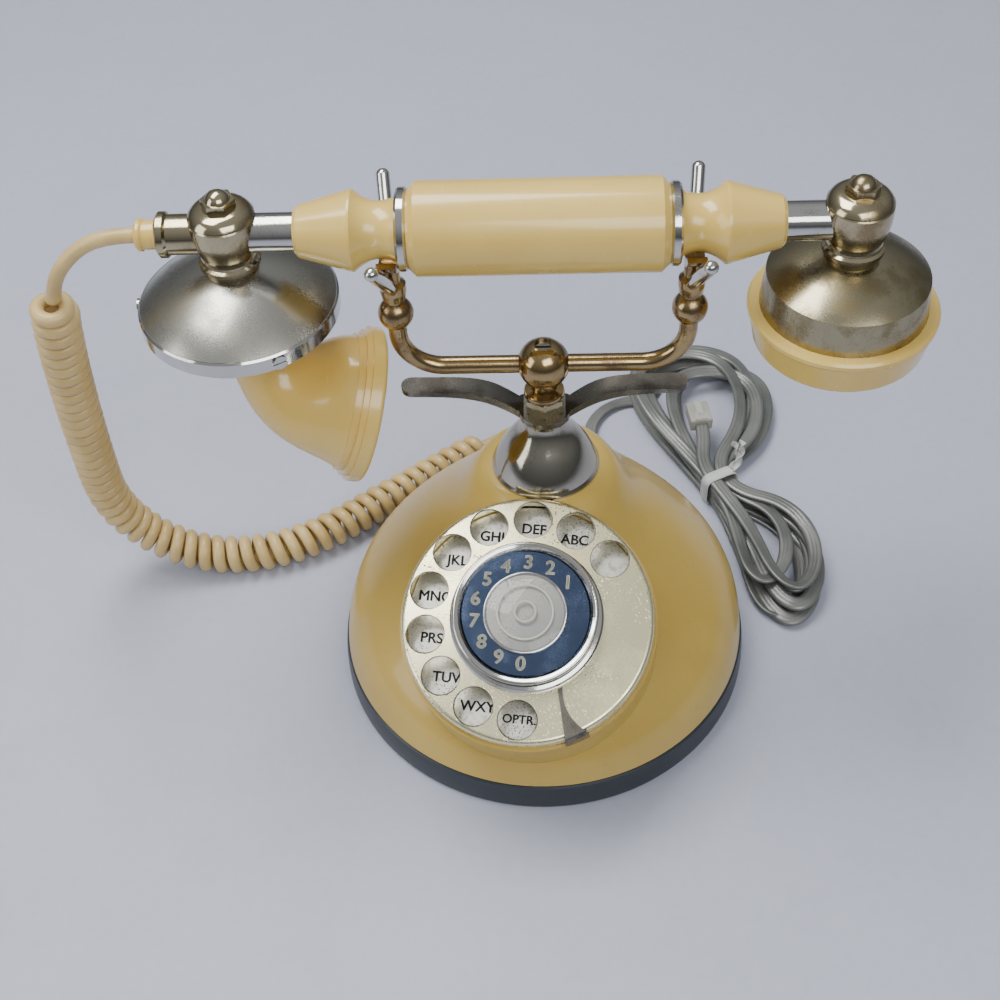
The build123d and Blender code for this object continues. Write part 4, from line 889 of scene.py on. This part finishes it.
@dataclass
class LineCord:
    """The flat line cord: a lead along the table, a tied hank of loose turns and a plug.

    Attributes:
        wide: The cord's width.
        thick: Its thickness.
        layer: The height between two turns in the tie, in millimetres.
        step: The distance between two points of its line.
        lean: How far its flat side leans at most, in degrees.
        heart: Where the tie is, in millimetres.
        heading: The direction of the hank through the tie, in degrees from the x axis.
    """

    wide: float = 6.0 * MM
    thick: float = 2.1 * MM
    layer: float = 1.95
    step: float = 0.8 * MM
    lean: float = 30.0
    heart: tuple[float, float] = (75.7, 74.3)
    heading: float = 117.0

    def build(self) -> None:
        """Makes the cord, its tie and its plug."""
        tie = self.tie()
        body, contacts = self.plug()
        path = self.route()
        along = np.gradient(path, axis=0)
        along /= np.linalg.norm(along, axis=1)[:, None]
        sides = np.cross(along, (0, 0, 1))
        sides /= np.linalg.norm(sides, axis=1)[:, None]
        ups = np.cross(sides, along)
        run = np.arange(len(path)) * self.step
        away = np.hypot(path[:, 0] - self.heart[0] * MM, path[:, 1] - self.heart[1] * MM)
        calm = np.clip((away - 14 * MM) / (30 * MM), 0, 1) * np.clip(run / 0.06, 0, 1)
        calm *= np.clip((run[-1] - run) / 0.04, 0, 1)
        roll = (np.radians(self.lean) * calm * np.sin(run * 37 + 1.3 * np.sin(run * 11)))[:, None]
        sides, ups = np.cos(roll) * sides + np.sin(roll) * ups, np.cos(roll) * ups - np.sin(roll) * sides
        needed = np.abs(sides[:, 2]) * self.wide / 2 + np.abs(ups[:, 2]) * self.thick / 2
        path[:, 2] = np.maximum(path[:, 2], needed + 0.05 * MM)
        mesh = bmesh.new()
        swept(mesh, path, sides, ups, self.section())
        piece = new_piece("line_cord", mesh, Finish.CORD, "telephone")
        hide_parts("line_lead", "line_hank")

    def section(self) -> np.ndarray:
        """The outline of the flat cord, with soft ribs on both faces."""
        across = np.linspace(-1, 1, 15)
        height = self.thick / 2 * (1 - across ** 6) ** 0.5 * (0.93 + 0.07 * np.cos(across * 4 * math.pi))
        upper = np.column_stack((across * self.wide / 2, height))
        return np.vstack((upper, -upper[1:-1]))

    def swung(self, spots: Sequence[tuple[float, float]], size: float, swing: float,
              height: float) -> list[Point]:
        """A lobe's points, resized and swung about the tie.

        Args:
            spots: The lobe's points.
            size: Their new distance from the tie, as a share of the old one.
            swing: How far they swing, in degrees.
            height: Their height.

        Returns:
            The points, in millimetres.
        """
        turn = math.radians(swing)
        made = []
        for x, y in spots:
            dx, dy = size * (x - self.heart[0]), size * (y - self.heart[1])
            made.append((self.heart[0] + dx * math.cos(turn) - dy * math.sin(turn),
                         self.heart[1] + dx * math.sin(turn) + dy * math.cos(turn), height))
        return made

    def pinch(self, side: float, height: float, up: bool) -> list[Point]:
        """Two points that take a strand through the tie.

        Args:
            side: How far it is to the right of the tie's middle.
            height: Its height.
            up: Whether it goes towards the upper lobe.

        Returns:
            The points, in millimetres.
        """
        ahead = Vector((math.cos(math.radians(self.heading)), math.sin(math.radians(self.heading))))
        right = Vector((ahead.y, -ahead.x))
        middle = Vector(self.heart) + side * right
        low, high = middle - 9 * ahead, middle + 9 * ahead
        return [(*(low if up else high), height), (*(high if up else low), height)]

    def route(self) -> np.ndarray:
        """The cord's line, from its gland to its plug, in metres."""
        upper = ((50.0, 128.0), (53.0, 154.0), (74.0, 161.0), (94.0, 153.0), (99.5, 131.0), (93.5, 105.0))
        lower = ((100.0, 54.0), (107.0, 36.0), (104.0, 16.0), (93.0, 3.0), (84.0, 13.0), (81.5, 42.0))
        sizes = (0.97, 1.04, 0.88, 1.00, 0.80, 0.93)
        upper_swings = (0.0, 7.0, -7.0, 3.0, -3.0, 9.0)
        lower_swings = (2.0, 5.0, 12.0, 8.0, 0.5, 10.0)
        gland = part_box("cord_glands")
        points: list[Point] = [(26.0, gland[1].y / MM, 7.4), (26.0, 94.0, 4.0), (19.5, 114.0, 1.6),
                               (30.5, 131.5, 1.4), (52.0, 134.0, 1.6)]
        for turn, (size, high, low) in enumerate(zip(sizes, upper_swings, lower_swings)):
            level = 1.15 + self.layer * turn
            lobe = self.swung(upper, size, high, level + 0.35 * turn)
            points += (lobe[1:] if turn == 0 else lobe) + self.pinch(3.2, level, False)
            points += self.swung(lower, size, low, level + 0.35 * turn)
            points += self.pinch(-3.2, level + (self.layer if turn < 5 else 2.1), True)
        points += [(70.9, 98.0, 13.6), (70.3, 104.6, 13.9)]
        return evenly(nurbs_line("line_cord", [tuple(v * MM for v in point) for point in points]), self.step)

    def tie(self) -> bpy.types.Object:
        """Makes the tie: a band round the bundle, with twisted ends."""
        ahead = np.array((math.cos(math.radians(self.heading)), math.sin(math.radians(self.heading)), 0.0))
        right = np.array((ahead[1], -ahead[0], 0.0))
        heart = np.array((*self.heart, 7.35)) * MM
        angles = np.linspace(0, 2 * math.pi, 72, endpoint=False)
        cosine, sine = np.cos(angles), np.sin(angles)
        reach = (np.abs(cosine / 7.4) ** 5 + np.abs(sine / 7.0) ** 5) ** -0.2 * MM
        outward = np.outer(cosine, right) + np.outer(sine, (0, 0, 1))
        mesh = bmesh.new()
        strip = np.array([(-2.4, -0.3), (0, -0.36), (2.4, -0.3), (2.5, 0), (2.4, 0.3), (0, 0.22), (-2.4, 0.3),
                          (-2.5, 0)])
        swept(mesh, heart + reach[:, None] * outward, np.tile(ahead, (len(angles), 1)), outward, strip * MM,
              closed=True)
        corner = heart + (6.2 * right + np.array((0, 0, 6.7))) * MM
        for side, lean in ((0.6, 5.0), (-0.6, 8.0)):
            share = np.linspace(0, 1, 40)[:, None]
            tail = corner + ((lean * share + 1.5 * np.sin(5 * share)) * right + side * ahead
                             + 4.0 * share * ahead + 11.0 * share ** 0.8 * np.array((0, 0, 1))) * MM
            twist = 7.5 * share + side
            _, widths, backs = carried(tail, ahead)
            widths, backs = (np.cos(twist) * widths + np.sin(twist) * backs,
                             np.cos(twist) * backs - np.sin(twist) * widths)
            swept(mesh, tail, widths, backs, strip * (0.62, 0.8) * MM)
        piece = new_piece("twisted_tie", mesh, Finish.PAPER, "telephone")
        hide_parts("cord_tie")
        return piece

    def plug(self) -> tuple[bpy.types.Object, bpy.types.Object]:
        """Makes the clear plug and its gold contacts."""
        ahead = Vector((math.cos(math.radians(98)), math.sin(math.radians(98)), 0))
        right = Vector((ahead.y, -ahead.x, 0))
        place = Matrix((right, ahead, Vector((0, 0, 1)))).transposed().to_4x4()
        place = Matrix.Translation((69.5 * MM, 110 * MM, 13.9 * MM)) @ place
        mesh = bmesh.new()
        for spot, size in (((0, 0, 0), (9.6, 12.3, 6.0)), ((0, -3.4, 3.2), (6.0, 5.0, 0.9)),
                           ((0, 1.6, 3.5), (3.2, 9.0, 0.8)), ((0, -2.2, -3.1), (7.6, 4.0, 0.5))):
            self.block(mesh, place, spot, size, 0.35)
        body = new_piece("plug_body", mesh, Finish.PLUG, "telephone", smooth=False)
        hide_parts("modular_plug")
        mesh = bmesh.new()
        for index in range(4):
            self.block(mesh, place, (-1.9 + 1.27 * index, 4.0, -2.2), (0.5, 3.6, 1.9), 0.0)
            self.block(mesh, place, (-1.9 + 1.27 * index, -1.4, 0.4), (0.7, 7.0, 0.7), 0.0)
        return body, new_piece("plug_contacts", mesh, Finish.GOLD, "telephone", smooth=False)

    def block(self, mesh: bmesh.types.BMesh, place: Matrix, spot: Point, size: Point, edge: float) -> None:
        """Adds a block.

        Args:
            mesh: The mesh to add to.
            place: The placing of the plug.
            spot: The block's middle, in millimetres.
            size: Its width, length and height, in millimetres.
            edge: The size of its bevelled edges, in millimetres.
        """
        scale = Matrix.Diagonal((*(v * MM for v in size), 1.0))
        shift = Matrix.Translation(tuple(v * MM for v in spot))
        made = bmesh.ops.create_cube(mesh, size=1.0, matrix=place @ shift @ scale)
        if edge > 0:
            edges = list({e for v in made["verts"] for e in v.link_edges})
            bmesh.ops.bevel(mesh, geom=edges, offset=edge * MM, segments=2, affect="EDGES")


# ---------------------------------------------------------------------------------------------------
# The studio
# ---------------------------------------------------------------------------------------------------
CAMERA_SPOT = (0.00612, -0.35495, 0.47831)
CAMERA_ANGLES = (48.06, -3.31, -3.32)
CAMERA_LENS = 53.1
TABLE_REACH = 6.0


class Studio:
    """The table, the lights and the camera."""

    def build(self) -> None:
        """Sets up the picture."""
        self.table()
        self.camera()
        self.lights()
        self.surroundings()

    def table(self) -> None:
        """Makes the pale table."""
        mesh = bmesh.new()
        bmesh.ops.create_grid(mesh, x_segments=1, y_segments=1, size=TABLE_REACH)
        data = bpy.data.meshes.new("table")
        mesh.to_mesh(data)
        mesh.free()
        table = bpy.data.objects.new("table", data)
        bpy.context.scene.collection.objects.link(table)
        data.materials.append(Finish.FLOOR.material())

    def camera(self) -> None:
        """Places the camera."""
        data = bpy.data.cameras.new("camera")
        data.sensor_width = 36.0
        data.lens = CAMERA_LENS
        data.clip_end = 20.0
        camera = bpy.data.objects.new("camera", data)
        bpy.context.scene.collection.objects.link(camera)
        down, heading, roll = (math.radians(angle) for angle in CAMERA_ANGLES)
        ahead = Vector((math.sin(heading) * math.cos(down), math.cos(heading) * math.cos(down),
                        -math.sin(down)))
        level = Vector((math.cos(heading), -math.sin(heading), 0.0))
        above = level.cross(ahead)
        right = math.cos(roll) * level + math.sin(roll) * above
        up = -math.sin(roll) * level + math.cos(roll) * above
        turned = Matrix((right, up, -ahead)).transposed().to_4x4()
        camera.matrix_world = Matrix.Translation(CAMERA_SPOT) @ turned
        bpy.context.scene.camera = camera

    def light(self, name: str, spot: Point, aim: Point, size: tuple[float, float], power: float,
              colour: Colour = (1, 1, 1)) -> None:
        """Adds a soft rectangular light.

        Args:
            name: The light's name.
            spot: Where it stands.
            aim: The point that it faces.
            size: Its width and height.
            power: Its power in watts.
            colour: Its colour.
        """
        data = bpy.data.lights.new(name, "AREA")
        data.shape = "RECTANGLE"
        data.size, data.size_y = size
        data.energy = power
        data.color = colour
        lamp = bpy.data.objects.new(name, data)
        bpy.context.scene.collection.objects.link(lamp)
        lamp.location = spot
        lamp.rotation_euler = (Vector(aim) - Vector(spot)).to_track_quat("-Z", "Y").to_euler()

    def lights(self) -> None:
        """Adds the studio's lights."""
        self.light("key", (-0.35, 0.25, 1.15), (0, 0, 0.05), (0.9, 0.5), 15.0)
        self.light("front", (0.35, -0.75, 0.95), (0, 0, 0.1), (0.8, 0.5), 7.0, (0.97, 0.98, 1.0))
        self.light("side", (-1.0, -0.35, 0.55), (0, 0, 0.1), (0.5, 0.7), 3.5)

    def surroundings(self) -> None:
        """Lights the studio's walls: bright above and dim at the sides, in a pale blue-white."""
        world = bpy.data.worlds.new("studio")
        bpy.context.scene.world = world
        world.use_nodes = True
        tree = world.node_tree
        back = tree.nodes["Background"]
        place = tree.nodes.new("ShaderNodeTexCoord")
        split = tree.nodes.new("ShaderNodeSeparateXYZ")
        ramp = tree.nodes.new("ShaderNodeMapRange")
        tree.links.new(place.outputs["Generated"], split.inputs[0])
        tree.links.new(split.outputs["Z"], ramp.inputs["Value"])
        for name, value in (("From Min", -0.1), ("From Max", 0.9), ("To Min", 0.06), ("To Max", 0.50)):
            ramp.inputs[name].default_value = value
        back.inputs["Color"].default_value = (0.93, 0.96, 1.0, 1.0)
        tree.links.new(ramp.outputs[0], back.inputs["Strength"])


def dress_nodes() -> None:
    """Gives each CAD node its finish."""
    for finish, names in NODE_FINISHES.items():
        for name in names:
            node = frame["nodes"][name]
            node.data.materials.clear()
            node.data.materials.append(finish.material())
            log.info("%s is finished in %s", name, finish.name.lower())


def main() -> None:
    """Builds the picture."""
    logging.basicConfig(level=logging.INFO, format="%(message)s")
    Studio().build()
    dress_nodes()
    Dial(DialPlace()).build()
    CurlyCord().build()
    LineCord().build()


if __name__ == "__main__":
    main()
